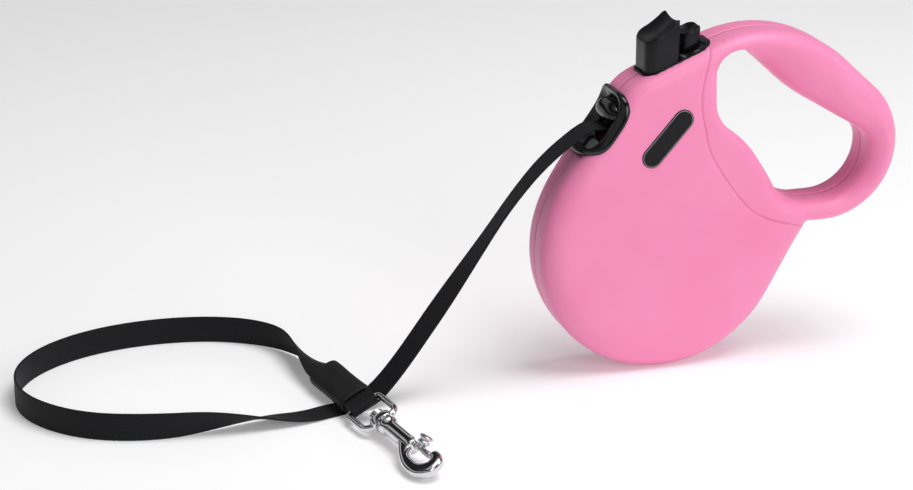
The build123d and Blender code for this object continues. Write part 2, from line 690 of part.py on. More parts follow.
def make_hook():
    """The flat hook with its root, rounded along its edges."""
    with BuildPart() as hook:
        with BuildSketch(snap_plane()):
            with BuildLine():
                outer = Spline((41, -2.6), (48, -4.6), (57, -9.2), (67, -12.2), (77, -11.4),
                               (83.4, -5), (81.5, 3.0), (72.5, 6.4))
                inner = Spline((TIP_X, 0.8), (74.3, 0.4), (75.6, -1.8), (71.5, -5.2), (61, -5),
                               (HOUSING_END, -1.8))
                Polyline(outer @ 1, (TIP_X, 5.2), inner @ 0)
                Polyline(inner @ 1, (HOUSING_END, 4.0), (41, 4.0), outer @ 0)
            make_face()
        extrude(amount=HOOK_HALF, both=True)
        fillet(hook.edges().group_by(Axis(snap_plane().origin, snap_plane().z_dir))[0], radius=1)
        fillet(hook.edges().group_by(Axis(snap_plane().origin, snap_plane().z_dir))[-1], radius=1)
    return hook.part


def make_snap_body():
    """Swivel head, neck, barrel and hook of the bolt snap, with the bolt's bore and slot."""
    frame = snap_plane()
    hook = make_hook()
    with BuildPart() as body:
        with BuildSketch(across(EYE_FRONT - 7.4)):
            Circle(4.4)
        extrude(amount=4.2)
        fillet(body.edges().group_by(Axis(frame.origin, frame.x_dir))[0], radius=1.6)
        with BuildSketch(across(EYE_FRONT - 3.4)):
            Circle(SWIVEL_R)
        extrude(amount=7.5)
        with BuildSketch(snap_plane()):
            with BuildLine():
                Polyline((25.0, 0), (25.0, 4.6), (29.5, 5.6), (32.5, 4.9), (34.5, BARREL_R),
                         (HOUSING_END, BARREL_R), (HOUSING_END, 0), close=True)
            make_face()
        revolve(axis=Axis(frame.origin, frame.x_dir))
        add(hook)
        with BuildSketch(across(BORE_BACK, BOLT_Y)):
            Circle(BOLT_R + FIT)
        extrude(amount=HOUSING_END - BORE_BACK + 1, mode=Mode.SUBTRACT)
        with BuildSketch(Plane(frame.origin + frame.y_dir * BOLT_Y, x_dir=frame.x_dir,
                               z_dir=frame.z_dir)):
            with Locations((HOUSING_END - 3, 3)):
                Rectangle(7, 6)
        extrude(amount=1.4, both=True, mode=Mode.SUBTRACT)
    return body.part


def make_snap_bolt():
    """Sliding bolt that closes the hook, with its thumb knob."""
    frame = snap_plane()
    with BuildPart() as bolt:
        with BuildSketch(across(BOLT_BACK, BOLT_Y)):
            Circle(BOLT_R)
        extrude(amount=BOLT_TIP - BOLT_BACK)
        with BuildSketch(Plane(frame.origin + frame.x_dir * KNOB_X + frame.y_dir * BOLT_Y,
                               x_dir=frame.x_dir, z_dir=frame.y_dir)):
            Circle(1.2)
        extrude(amount=5.2)
        with BuildSketch(Plane(frame.origin + frame.x_dir * KNOB_X + frame.y_dir * (BOLT_Y + 4),
                               x_dir=frame.x_dir, z_dir=frame.y_dir)):
            Circle(2.9)
        extrude(amount=2.4)
        fillet(bolt.edges().group_by(Axis(frame.origin, frame.y_dir))[-1], radius=0.9)
    return bolt.part


def make_snap_spring():
    """Coil spring behind the bolt."""
    frame = snap_plane()
    back = BORE_BACK + 0.3
    with BuildPart() as spring:
        with BuildLine():
            coil = Helix(pitch=1.3, height=BOLT_BACK - back - 0.6, radius=1.15,
                         center=frame.origin + frame.x_dir * back + frame.y_dir * BOLT_Y,
                         direction=frame.x_dir)
        with BuildSketch(Plane(coil @ 0, z_dir=coil % 0)):
            Circle(0.25)
        sweep()
    return spring.part


# ---------------------------------------------------------------- build
def main():
    os.makedirs("parts", exist_ok=True)
    holes, region = windows(), handle_region()
    for is_left, side in ((True, "left"), (False, "right")):
        save(f"body_shell_{side}", shell(True, is_left, holes, region))
        save(f"handle_shell_{side}", shell(False, is_left, holes, region))
    makers = {
        "badge": make_badge, "belt_nozzle": make_belt_nozzle, "button_plate": make_button_plate,
        "case_screws": make_case_screws, "brake_button": make_brake_button,
        "brake_bar": make_brake_bar, "brake_spring": make_brake_spring,
        "lock_slider": make_lock_slider, "lock_bar": make_lock_bar, "axle": make_axle,
        "spool": make_spool, "spool_cover": make_spool_cover, "spool_screws": make_spool_screws,
        "power_spring": make_power_spring, "belt_coil": make_belt_coil,
        "belt_sleeve": make_belt_sleeve, "belt_end": make_belt_end, "snap_eye": make_snap_eye,
        "snap_body": make_snap_body, "snap_bolt": make_snap_bolt, "snap_spring": make_snap_spring,
    }
    for name, make in makers.items():
        save(name, make())
    make_belt_stretches()


main()
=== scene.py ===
"""Looks of the retractable dog leash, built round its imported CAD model.

Sizes are in millimetres in the row frame until a mesh is made, which turns them into metres.
The housing's outline is drawn on side planes: x is +X and z is +Z from the spool axis.
"""
from contextlib import contextmanager
from math import acos, atan2, copysign, cos, hypot, pi, radians, sin, tan

import bmesh
import bpy
import numpy as np
from mathutils import Matrix, Vector, geometry


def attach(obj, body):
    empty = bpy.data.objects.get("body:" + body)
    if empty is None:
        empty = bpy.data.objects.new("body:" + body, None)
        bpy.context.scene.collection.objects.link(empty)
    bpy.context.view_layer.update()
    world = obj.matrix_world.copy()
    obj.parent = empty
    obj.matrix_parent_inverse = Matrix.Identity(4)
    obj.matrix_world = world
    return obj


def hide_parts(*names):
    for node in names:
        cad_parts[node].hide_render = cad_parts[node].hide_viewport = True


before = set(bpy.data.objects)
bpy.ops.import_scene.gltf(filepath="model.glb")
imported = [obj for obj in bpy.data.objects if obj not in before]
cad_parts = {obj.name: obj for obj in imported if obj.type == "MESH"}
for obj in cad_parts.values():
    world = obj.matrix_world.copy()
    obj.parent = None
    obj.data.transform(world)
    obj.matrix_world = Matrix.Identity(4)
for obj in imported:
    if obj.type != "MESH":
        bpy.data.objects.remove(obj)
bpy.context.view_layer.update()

MM = 0.001

# ---------------- shared sizes
SPOOL_X, SPOOL_Z = -97.0, -82.0
DISC_R = 70.0
FLOOR = SPOOL_Z - DISC_R
HALF_THICK = 18.0
HOUSING_OUTLINE = [(0, 0, DISC_R), (83.2, 3.0, -1.5), (91.5, 46.5, 42), (51, 41, 73.5),
                   (-1.8, 66.5, 30)]
FINGER_HOLE = [(38, 93, 13), (45.5, 79, 20), (-0.8, 13.7, -60), (82.5, 41.5, 25),
               (92, 42.5, 26), (104.5, 43.5, 13.5), (127.2, 150.6, -90)]
SEAM = [(25.5, 116), (21.0, 106.5), (17.6, 95), (16.0, 80), (18.6, 65), (24.5, 47), (47, 17),
        (73, 5.6), (84, 4.0)]
DECK_SLOPE, DECK_X, DECK_Z = 22.1, -6.5, 97.0
FLANK, NOZZLE_X, NOZZLE_Z = 54.6, -37.2, 68.5
BADGE_X, BADGE_Z, BADGE_ANGLE, BADGE_L, BADGE_W = -2.7, 62.0, 48.5, 37.0, 11.5
BELT_W, BELT_T = 15.0, 1.2
TWIST_FROM = 0.87                    # where the loop's far end starts to turn over
BAR_AT = Vector((-271.5, -34.4, FLOOR + 9.0))
SNAP_YAW, SNAP_ROLL, SNAP_PITCH = 11.0, 25.0, -1.1
BOLT_Y, BOLT_LEAN = 2.0, 35.0        # the bolt's axis beside the snap's, and its knob's tilt

# The lead inside the housing, from the coil's tangent to the belt's start, from the spool axis
LEAD = [(18.2, 47.7), (-14, 59.8), (-29, 65.6), (-37.5, 67.4), (-42.2, 66.5), (-46.0, 64.4),
        (-48.2, 63.14)]

# The belt's route: the drop, the flat stretch and the loop, as on the CAD model
BELT_ROUTE = [(-143, 0, -17.6), (-158.5, -1.9, -26.5), (-179.5, -4.5, -47), (-201.5, -7.2, -75.5),
              (-226, -10.2, -107), (-251, -13.3, -138.5), (-266.5, -15.2, -151.2),
              (-283, -17.2, -151.4), (-300, -23, -151), (-320, -25.5, -147.5),
              (-346, -27.5, -144.5), (-381, -27, -144.5), (-415, -14, -144.5), (-438, 14, -144.5),
              (-442, 46, -144.5), (-427, 75, -144.5), (-397, 95, -144.5), (-359, 102, -144.5),
              (-321, 96, -144.5), (-295, 78, -144), (-284, 54, -143.5), (-281.8, 18.4, -142.5)]


# ---------------- camera
def add_object(name, data):
    made = bpy.data.objects.new(name, data)
    bpy.context.scene.collection.objects.link(made)
    return made


def place_object(name, data, spot, aim):
    """A camera or lamp that looks at a point."""
    made = add_object(name, data)
    made.location = Vector(spot) * MM
    toward = Vector(aim) * MM - made.location
    made.rotation_euler = toward.to_track_quat("-Z", "Y").to_euler()
    return made


def make_camera():
    data = bpy.data.cameras.new("camera")
    data.sensor_width = 36
    data.lens = 101.1
    bpy.context.scene.camera = place_object("camera", data, (-586.9, -1209.6, 393.1),
                                            (-210.4, 0, -73.5))


# ---------------- mesh helpers
def mesh_object(name, spots, faces):
    """A smooth-shaded mesh object from points in millimetres."""
    mesh = bpy.data.meshes.new(name)
    mesh.from_pydata([tuple(Vector(p) * MM) for p in spots], [], faces)
    mesh.validate()
    mesh.shade_smooth()
    return add_object(name, mesh)


@contextmanager
def editing(piece):
    """A piece's mesh as a bmesh, written back at the end."""
    form = bmesh.new()
    form.from_mesh(piece.data)
    yield form
    form.to_mesh(piece.data)
    form.free()


def tidy_mesh(piece, merge=0.0):
    """Joins doubled points if asked, and turns every face outwards."""
    with editing(piece) as form:
        if merge:
            bmesh.ops.remove_doubles(form, verts=form.verts, dist=merge)
        bmesh.ops.recalc_face_normals(form, faces=form.faces)
    return piece


def loft_faces(count, around):
    """Quads between count closed rings of around points each."""
    faces = []
    for low in range(0, (count - 1) * around, around):
        high = low + around
        for i in range(around):
            j = (i + 1) % around
            faces.append((low + i, low + j, high + j, high + i))
    return faces


def caps(around, total):
    """The two end faces of a loft."""
    return [tuple(reversed(range(around))), tuple(range(total - around, total))]


def loft(name, rings, closed_ends=True):
    """A skin over closed rings with the same number of points."""
    around = len(rings[0])
    spots = [p for ring in rings for p in ring]
    faces = loft_faces(len(rings), around)
    if closed_ends:
        faces += caps(around, len(spots))
    return tidy_mesh(mesh_object(name, spots, faces))


def ring_loft(name, rings):
    """A skin over closed rings whose last ring meets the first."""
    return tidy_mesh(loft(name, rings + [rings[0]], False), merge=0.001 * MM)


def join(name, pieces):
    """One object from several."""
    whole = pieces[0]
    with bpy.context.temp_override(active_object=whole, object=whole, selected_objects=pieces,
                                   selected_editable_objects=pieces):
        bpy.ops.object.join()
    whole.name = name
    whole.data.name = name
    return whole


def modifier(piece, kind, **settings):
    added = piece.modifiers.new(kind.lower(), kind)
    for key, value in settings.items():
        setattr(added, key, value)


def settle(piece):
    """Bakes a piece's modifiers into its mesh."""
    graph = bpy.context.evaluated_depsgraph_get()
    mesh = bpy.data.meshes.new_from_object(piece.evaluated_get(graph))
    piece.modifiers.clear()
    piece.data = mesh


def dress(piece, material, body, slot, *nodes):
    """Material, body, slot (not used) and the CAD nodes that the piece stands for."""
    piece.data.materials.clear()
    piece.data.materials.append(material)
    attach(piece, body)
    if nodes:
        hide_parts(*nodes)
    return piece


def side(x, z, y):
    """A row-frame point from the spool axis's x and z."""
    return Vector((SPOOL_X + x, y, SPOOL_Z + z))


def turns(count):
    """Evenly spread angles of one turn."""
    return [2 * pi * k / count for k in range(count)]


def bent(value, power):
    """A sine or cosine raised to a power with its sign kept, for blunt or pointed ovals."""
    return copysign(abs(value) ** power, value)


def deck_z(x):
    return DECK_Z + (x - DECK_X) * tan(radians(DECK_SLOPE))


class Place:
    """A frame in space: at(x, y, z) is a row-frame point."""

    def __init__(self, origin, x_dir, y_dir, z_dir):
        self.origin, self.x, self.y, self.z = origin, x_dir, y_dir, z_dir

    def at(self, x, y, z=0.0):
        return self.origin + self.x * x + self.y * y + self.z * z


def mouth_place():
    """The flank under the belt nozzle: x up along the flank, y is +Y, z outwards."""
    out = Vector((-sin(radians(FLANK)), 0, cos(radians(FLANK))))
    up = Vector((cos(radians(FLANK)), 0, sin(radians(FLANK))))
    return Place(side(NOZZLE_X, NOZZLE_Z, 0), up, Vector((0, 1, 0)), out)


def snap_place():
    """The bolt snap: x along it, y to its right, z out of its flat side."""
    yaw, roll, pitch = radians(SNAP_YAW), radians(SNAP_ROLL), radians(SNAP_PITCH)
    along = Vector((sin(yaw) * cos(pitch), -cos(yaw) * cos(pitch), sin(pitch)))
    level = Vector((cos(yaw), sin(yaw), 0))
    normal = (along.cross(level) * cos(roll) - level * sin(roll)).normalized()
    return Place(BAR_AT, along, normal.cross(along), normal)


# ---------------- materials
def ramp(tree, source, stops):
    """A colour ramp over a value; stops are (place, (r, g, b))."""
    bar = tree.nodes.new("ShaderNodeValToRGB")
    while len(bar.color_ramp.elements) < len(stops):
        bar.color_ramp.elements.new(0.5)
    for element, (place, color) in zip(bar.color_ramp.elements, stops):
        element.position = place
        element.color = (*color, 1)
    tree.links.new(source, bar.inputs["Fac"])
    return bar.outputs["Color"]


class Paint:
    """A Principled material, with the steps that vary its colour, gloss and relief."""

    def __init__(self, name, color, roughness, metallic=0.0, coat=0.0, coat_roughness=0.1,
                 specular=0.5):
        self.made = bpy.data.materials.new(name)
        self.made.use_nodes = True
        self.tree = self.made.node_tree
        self.inputs = self.tree.nodes["Principled BSDF"].inputs
        self.inputs["Base Color"].default_value = (*color, 1)
        self.inputs["Roughness"].default_value = roughness
        self.inputs["Metallic"].default_value = metallic
        self.inputs["Coat Weight"].default_value = coat
        self.inputs["Coat Roughness"].default_value = coat_roughness
        self.inputs["Specular IOR Level"].default_value = specular

    def noise(self, scale, detail=2.0, rough=0.5):
        """Noise on object coordinates, with scale in features per metre."""
        where = self.tree.nodes.new("ShaderNodeTexCoord")
        grain = self.tree.nodes.new("ShaderNodeTexNoise")
        grain.inputs["Scale"].default_value = scale
        grain.inputs["Detail"].default_value = detail
        grain.inputs["Roughness"].default_value = rough
        self.tree.links.new(where.outputs["Object"], grain.inputs["Vector"])
        return grain.outputs["Fac"]

    def color(self, source, stops):
        """Base colour from a ramp over a value."""
        self.tree.links.new(ramp(self.tree, source, stops), self.inputs["Base Color"])

    def gloss(self, source, low, high):
        """Roughness from a 0 to 1 value."""
        mapped = self.tree.nodes.new("ShaderNodeMapRange")
        mapped.inputs["To Min"].default_value = low
        mapped.inputs["To Max"].default_value = high
        self.tree.links.new(source, mapped.inputs["Value"])
        self.tree.links.new(mapped.outputs["Result"], self.inputs["Roughness"])

    def bump(self, source, depth, strength):
        """Relief of a depth in metres."""
        relief = self.tree.nodes.new("ShaderNodeBump")
        relief.inputs["Distance"].default_value = depth
        relief.inputs["Strength"].default_value = strength
        self.tree.links.new(source, relief.inputs["Height"])
        self.tree.links.new(relief.outputs["Normal"], self.inputs["Normal"])

    def combine(self, operation, first, second):
        """Two values multiplied or added."""
        step = self.tree.nodes.new("ShaderNodeMath")
        step.operation = operation
        self.tree.links.new(first, step.inputs[0])
        self.tree.links.new(second, step.inputs[1])
        return step.outputs[0]


def pink_plastic():
    """Satin pink moulding: fine spark texture, slight mottling of colour and gloss."""
    paint = Paint("pink_plastic", (0.86, 0.27, 0.46), 0.42, coat=0.12, coat_roughness=0.35,
                  specular=0.4)
    cloud = paint.noise(28, 3)
    paint.color(cloud, [(0.3, (0.87, 0.240, 0.455)), (0.7, (0.89, 0.268, 0.490))])
    paint.gloss(cloud, 0.36, 0.48)
    paint.bump(paint.noise(2600), 0.00003, 0.35)
    return paint.made


def black_plastic(name, rough_low, rough_high, grain_depth, coat, specular=0.2):
    """Black moulding with faint haze and handling marks."""
    paint = Paint(name, (0.006, 0.006, 0.007), rough_low, coat=coat, coat_roughness=0.06,
                  specular=specular)
    haze = paint.noise(60, 4, 0.6)
    paint.color(haze, [(0.35, (0.004, 0.004, 0.005)), (0.75, (0.009, 0.009, 0.011))])
    paint.gloss(haze, rough_low, rough_high)
    paint.bump(paint.noise(1800), grain_depth, 0.4)
    return paint.made


def metal(name, color, rough_low, rough_high):
    """Plated or bare metal with fine scratches and a little unevenness."""
    paint = Paint(name, color, rough_low, metallic=1.0)
    wear = paint.noise(180, 4, 0.65)
    paint.color(wear, [(0.35, tuple(0.86 * c for c in color)), (0.6, color)])
    paint.gloss(wear, rough_low, rough_high)
    paint.bump(paint.noise(420), 0.00002, 0.3)
    return paint.made


def rubber():
    """Dull black rubber with a soft grain."""
    paint = Paint("rubber", (0.012, 0.011, 0.011), 0.55, specular=0.2)
    cloud = paint.noise(90, 4, 0.6)
    paint.color(cloud, [(0.3, (0.009, 0.008, 0.008)), (0.75, (0.017, 0.016, 0.016))])
    paint.gloss(cloud, 0.48, 0.66)
    paint.bump(paint.noise(3000, 3), 0.00004, 0.5)
    return paint.made


def webbing(name, uses_uv):
    """Woven nylon tape: herringbone ribs along the belt and crossing yarns."""
    paint = Paint(name, (0.005, 0.005, 0.006), 0.6, specular=0.12)
    paint.inputs["Sheen Weight"].default_value = 0.05
    paint.inputs["Sheen Roughness"].default_value = 0.5
    paint.inputs["Sheen Tint"].default_value = (0.35, 0.35, 0.38, 1)
    nodes, links = paint.tree.nodes, paint.tree.links
    where = nodes.new("ShaderNodeTexCoord")
    yarns = []
    for angle, scale in ((35, 260), (-35, 260), (90, 330)):
        turned = nodes.new("ShaderNodeMapping")
        turned.inputs["Rotation"].default_value = (0, 0, radians(angle))
        links.new(where.outputs["UV" if uses_uv else "Object"], turned.inputs["Vector"])
        wave = nodes.new("ShaderNodeTexWave")
        wave.inputs["Scale"].default_value = scale
        wave.inputs["Distortion"].default_value = 0.6
        wave.inputs["Detail"].default_value = 1.0
        links.new(turned.outputs["Vector"], wave.inputs["Vector"])
        yarns.append(wave.outputs["Fac"])
    crossed = paint.combine("MULTIPLY", yarns[0], yarns[1])
    paint.color(crossed, [(0.1, (0.006, 0.006, 0.007)), (0.8, (0.020, 0.020, 0.022))])
    paint.bump(paint.combine("ADD", crossed, yarns[2]), 0.00012, 0.6)
    return paint.made


# ---------------- outlines on the side plane
def wrap(circles, grow=0.0, step=2.0):
    """Points on the closed line of arcs and tangents round signed circles, with the number
    of the circle that each belongs to."""
    grown = [(x, z, r + grow) for x, z, r in circles]
    count = len(grown)
    normals = []
    for i, (x1, z1, r1) in enumerate(grown):
        x2, z2, r2 = grown[(i + 1) % count]
        normals.append(atan2(z2 - z1, x2 - x1) + acos((r2 - r1) / hypot(x2 - x1, z2 - z1)))
    spots, owners = [], []
    for i, (x, z, r) in enumerate(grown):
        arrive, leave = normals[i - 1], normals[i]
        turn = (leave - arrive) % (2 * pi) if r > 0 else -((arrive - leave) % (2 * pi))
        pieces = max(3, int(abs(turn * circles[i][2]) / step))
        for k in range(pieces):
            angle = arrive + turn * k / pieces
            spots.append((x - r * cos(angle), z - r * sin(angle)))
            owners.append(i)
        x2, z2, r2 = grown[(i + 1) % count]
        start = (x - r * cos(leave), z - r * sin(leave))
        end = (x2 - r2 * cos(leave), z2 - r2 * sin(leave))
        pieces = max(1, int(hypot(end[0] - start[0], end[1] - start[1]) / step))
        for k in range(pieces):
            t = k / pieces
            spots.append((start[0] + (end[0] - start[0]) * t, start[1] + (end[1] - start[1]) * t))
            owners.append(i + t)
    return np.array(spots), np.array(owners)


def smooth_curve(points, step=1.5):
    """A Catmull-Rom curve through the points."""
    ends = [np.array(p, float) for p in (points[0], *points, points[-1])]
    out = []
    for a, b, c, d in zip(ends, ends[1:], ends[2:], ends[3:]):
        pieces = max(2, int(np.linalg.norm(c - b) / step))
        for k in range(pieces):
            t = k / pieces
            out.append(0.5 * (2 * b + (c - a) * t + (2 * a - 5 * b + 4 * c - d) * t * t
                              + (3 * b - a - 3 * c + d) * t ** 3))
    out.append(ends[-2])
    return np.array(out)


def left_of(way):
    """Unit directions to the left of those given."""
    way = way / np.linalg.norm(way, axis=1)[:, None]
    return np.stack([-way[:, 1], way[:, 0]], 1)


def inside(points, loop):
    """Which of the points lie inside the closed loop."""
    x, z = points[:, 0][:, None], points[:, 1][:, None]
    x1, z1 = loop[:, 0][None], loop[:, 1][None]
    x2, z2 = np.roll(loop[:, 0], -1)[None], np.roll(loop[:, 1], -1)[None]
    rise = np.where(z2 == z1, 1e-9, z2 - z1)
    crossed = ((z1 > z) != (z2 > z)) & (x < (x2 - x1) * (z - z1) / rise + x1)
    return crossed.sum(1) % 2 == 1


def parts(points, size=2000):
    """Slices of the points, which keep the tables of distances small."""
    return [slice(first, first + size) for first in range(0, len(points), size)]


def distance(points, line, closed=True):
    """Distance of each point to a polyline, and the number of the nearest stretch."""
    start = line if closed else line[:-1]
    end = np.roll(line, -1, 0) if closed else line[1:]
    run = end - start
    best = np.full(len(points), 1e9)
    which = np.zeros(len(points), int)
    for part in parts(points):
        gap = points[part][:, None] - start[None]
        t = np.clip((gap * run).sum(2) / np.maximum((run ** 2).sum(1), 1e-9), 0, 1)
        away = np.linalg.norm(gap - t[..., None] * run[None], axis=2)
        which[part] = away.argmin(1)
        best[part] = away.min(1)
    return best, which


def blend(points, loop, values, reach=2.5):
    """Values of a closed loop at points, averaged over the stretches nearest to each."""
    out = np.zeros(len(points))
    for part in parts(points):
        away = np.linalg.norm(points[part][:, None] - loop[None], axis=2)
        weight = np.exp(-(away - away.min(1)[:, None]) / reach)
        out[part] = (weight * values[None]).sum(1) / weight.sum(1)
    return out


def spread(values, loop, reach):
    """Values along a closed loop, evened out over a reach in millimetres."""
    run = np.linalg.norm(np.roll(loop, -1, 0) - loop, axis=1)
    place = np.concatenate([[0], np.cumsum(run)[:-1]])
    total = run.sum()
    gap = np.abs(place[:, None] - place[None])
    gap = np.minimum(gap, total - gap)
    weight = np.exp(-(gap / reach) ** 2) * run[None]
    return (weight * values[None]).sum(1) / weight.sum(1)


# ---------------- housing
class Housing:
    """Height of the housing's side over its outline, and the points of its skin."""

    RIM = 0.55        # height of the rim over the parting line, above its eased edge
    ON_LOOP = 0.05    # a point this near to a loop lies on it
    GROOVE = 0.4      # depth of the groove along the parting line
    SEAM_DEEP, SEAM_HALF = 0.45, 0.55

    def __init__(self):
        self.outer, owners = wrap(HOUSING_OUTLINE)
        # Rounding of the outer edge: broad round the disc, tighter along the deck and grip
        round_disc, grip = owners < 0.98, (owners >= 1) & (owners < 3)
        width = np.select([round_disc, grip], [15.0, 10.0], 8.0)
        flat = np.select([round_disc, grip], [7.0, 8.5], 9.5)
        self.outer_width = spread(width, self.outer, 12)
        self.outer_flat = spread(flat, self.outer, 12)
        self.hole, owners = wrap(FINGER_HOLE)
        # Rounding towards the finger hole: small beside the body, deep under the grip
        under, behind = (owners >= 5.6) & (owners < 6.97), (owners >= 3) & (owners < 5.6)
        self.hole_width = spread(np.select([under, behind], [17.0, 9.0], 4.0), self.hole, 8)
        self.hole_drop = spread(np.select([under, behind], [15.0, 9.5], 3.2), self.hole, 8)
        self.seam = smooth_curve(SEAM)
        # The seam runs on past the outline at both ends
        self.seam_long = np.vstack([self.seam[0] + (self.seam[0] - self.seam[1]) * 6, self.seam,
                                    self.seam[-1] + (9, -2)])
        self.triangulate()

    def height(self, spots):
        """|y| of the skin over points of the side plane."""
        out_gap, _ = distance(spots, self.outer)
        hole_gap, _ = distance(spots, self.hole)
        width = blend(spots, self.outer, self.outer_width)
        curve = np.clip(1 - out_gap / width, 0, 1)
        flat = blend(spots, self.outer, self.outer_flat)
        low_out = (HALF_THICK - flat) * (1 - np.sqrt(1 - curve ** 2.2))
        width = blend(spots, self.hole, self.hole_width)
        drop = blend(spots, self.hole, self.hole_drop)
        curve = np.clip(1 - hole_gap / width, 0, 1)
        low_hole = 1 - np.sqrt(np.clip(1 - curve ** 2, 0, 1)) * 0.75 - 0.25 * (1 - curve)
        down = np.hypot(low_out, drop * low_hole)
        high = HALF_THICK - down
        seam_gap, _ = distance(spots, self.seam_long, closed=False)
        high -= self.SEAM_DEEP * np.exp(-(seam_gap / self.SEAM_HALF) ** 2)
        return np.maximum(high, self.RIM)

    def is_handle(self, spots):
        """Which points lie behind the seam."""
        first_x, last_x = self.seam_long[0][0], self.seam_long[-1][0]
        region = np.vstack([self.seam_long, [(last_x + 2, -20), (170, -20), (170, 140),
                                             (first_x, 140)]])
        return inside(spots, region)

    def triangulate(self):
        """Triangles over the side plane that follow the outline, hole and seam."""
        spots = [self.outer, self.hole]
        edges, start = [], 0
        for loop in spots:
            edges += [(start + i, start + (i + 1) % len(loop)) for i in range(len(loop))]
            start += len(loop)
        fine = smooth_curve(self.seam_long[inside(self.seam_long, self.outer)], 1.5)
        spots.append(fine)
        edges += [(start + i, start + i + 1) for i in range(len(fine) - 1)]
        rings = [wrap(HOUSING_OUTLINE, -gap)[0] for gap in (
            0.12, 0.4, 0.9, 1.6, 2.5, 3.6, 4.9, 6.4, 8.2, 10.4, 13, 16, 19)]
        rings += [wrap(FINGER_HOLE, gap)[0] for gap in (
            0.3, 0.8, 1.5, 2.4, 3.5, 4.8, 6.4, 8.4, 10.6, 13)]
        across = left_of(np.gradient(fine, axis=0))
        for gap in (0.35, 0.8, 1.5):
            rings += [fine + across * gap, fine - across * gap]
        x, z = np.meshgrid(np.arange(-72, 136, 4.0), np.arange(-72, 117, 4.0))
        rings.append(np.stack([x.ravel(), z.ravel()], 1))
        extra = np.vstack(rings)
        out_gap, _ = distance(extra, self.outer)
        hole_gap, _ = distance(extra, self.hole)
        seam_gap, _ = distance(extra, fine, closed=False)
        good = inside(extra, self.outer) & ~inside(extra, self.hole)
        good &= (out_gap > 0.1) & (hole_gap > 0.25) & (seam_gap > 0.3)
        grid = np.arange(len(extra)) >= len(extra) - x.size
        good &= ~grid | ((out_gap > 20.5) & (hole_gap > 14) & (seam_gap > 3))
        points = np.vstack(spots + [self.thin(extra[good])])
        result = geometry.delaunay_2d_cdt([Vector(p) for p in points], edges, [], 0, 1e-4)
        self.spots = np.array([tuple(v) for v in result[0]])
        faces = [tuple(f) for f in result[2]]
        middle = np.array([self.spots[list(f)].mean(0) for f in faces])
        good = inside(middle, self.outer) & ~inside(middle, self.hole)
        behind = self.is_handle(middle)
        self.body_faces = [f for f, g, b in zip(faces, good, behind) if g and not b]
        self.handle_faces = [f for f, g, b in zip(faces, good, behind) if g and b]

    @staticmethod
    def thin(points, least=0.55):
        """Drops points that lie on top of an earlier one."""
        cells = {}
        for x, z in points:
            cells.setdefault((round(x / least), round(z / least)), (x, z))
        return np.array(list(cells.values()))

    def shell(self, name, faces, is_left):
        """One half shell's skin, with its rims turned in to the parting plane."""
        used = sorted({i for f in faces for i in f})
        index = {old: new for new, old in enumerate(used)}
        flat = self.spots[used]
        sign = -1 if is_left else 1
        points = [side(x, z, sign * y) for (x, z), y in zip(flat, self.height(flat))]
        piece = mesh_object(name, points, [tuple(index[i] for i in f) for f in faces])
        with editing(piece) as form:
            self.ease_rims(form, sign)
        tidy_mesh(piece)
        # An open skin's faces may all have been turned inwards
        if sign * sum(p.normal.y * p.area for p in piece.data.polygons) < 0:
            piece.data.flip_normals()
        return piece

    def ease_rims(self, form, sign):
        """Walls from the skin's open edges down to the parting plane."""
        rim = [e for e in form.edges if e.is_boundary]
        form.verts.index_update()
        gaps = [distance(flat_spots(form.verts), loop)[0] for loop in (self.outer, self.hole)]
        edges = [e for e in rim
                 if any(max(gap[v.index] for v in e.verts) < self.ON_LOOP for gap in gaps)]
        for target in (12.0, 9.0, 6.0, 3.0, self.RIM, 0.12):
            made = bmesh.ops.extrude_edge_only(form, edges=edges)["geom"]
            fresh = [g for g in made if isinstance(g, bmesh.types.BMVert)]
            for vert in fresh:
                if abs(vert.co.y) > target * MM:
                    vert.co.y = sign * target * MM
            edges = [g for g in made if isinstance(g, bmesh.types.BMEdge)
                     and sum(v in fresh for v in g.verts) == 2]
        self.pull_in(edges)
        bmesh.ops.remove_doubles(form, verts=form.verts, dist=0.01 * MM)

    def pull_in(self, edges):
        """Sets the last rim back a little, so that the parting line shows as a fine groove."""
        verts = list({v for e in edges for v in e.verts})
        spots = flat_spots(verts)
        for loop, into in ((self.outer, 1), (self.hole, -1)):
            gap, near = distance(spots, loop)
            normal = left_of(np.roll(loop, -1, 0) - loop) * into
            if not inside(loop[:1] + normal[:1] * into * 0.5, loop)[0]:
                normal = -normal
            for vert, g, k in zip(verts, gap, near):
                if g < self.ON_LOOP:
                    vert.co.x += normal[k][0] * self.GROOVE * MM
                    vert.co.z += normal[k][1] * self.GROOVE * MM


def flat_spots(verts):
    """Side-plane places of mesh points."""
    return np.array([(v.co.x / MM - SPOOL_X, v.co.z / MM - SPOOL_Z) for v in verts])


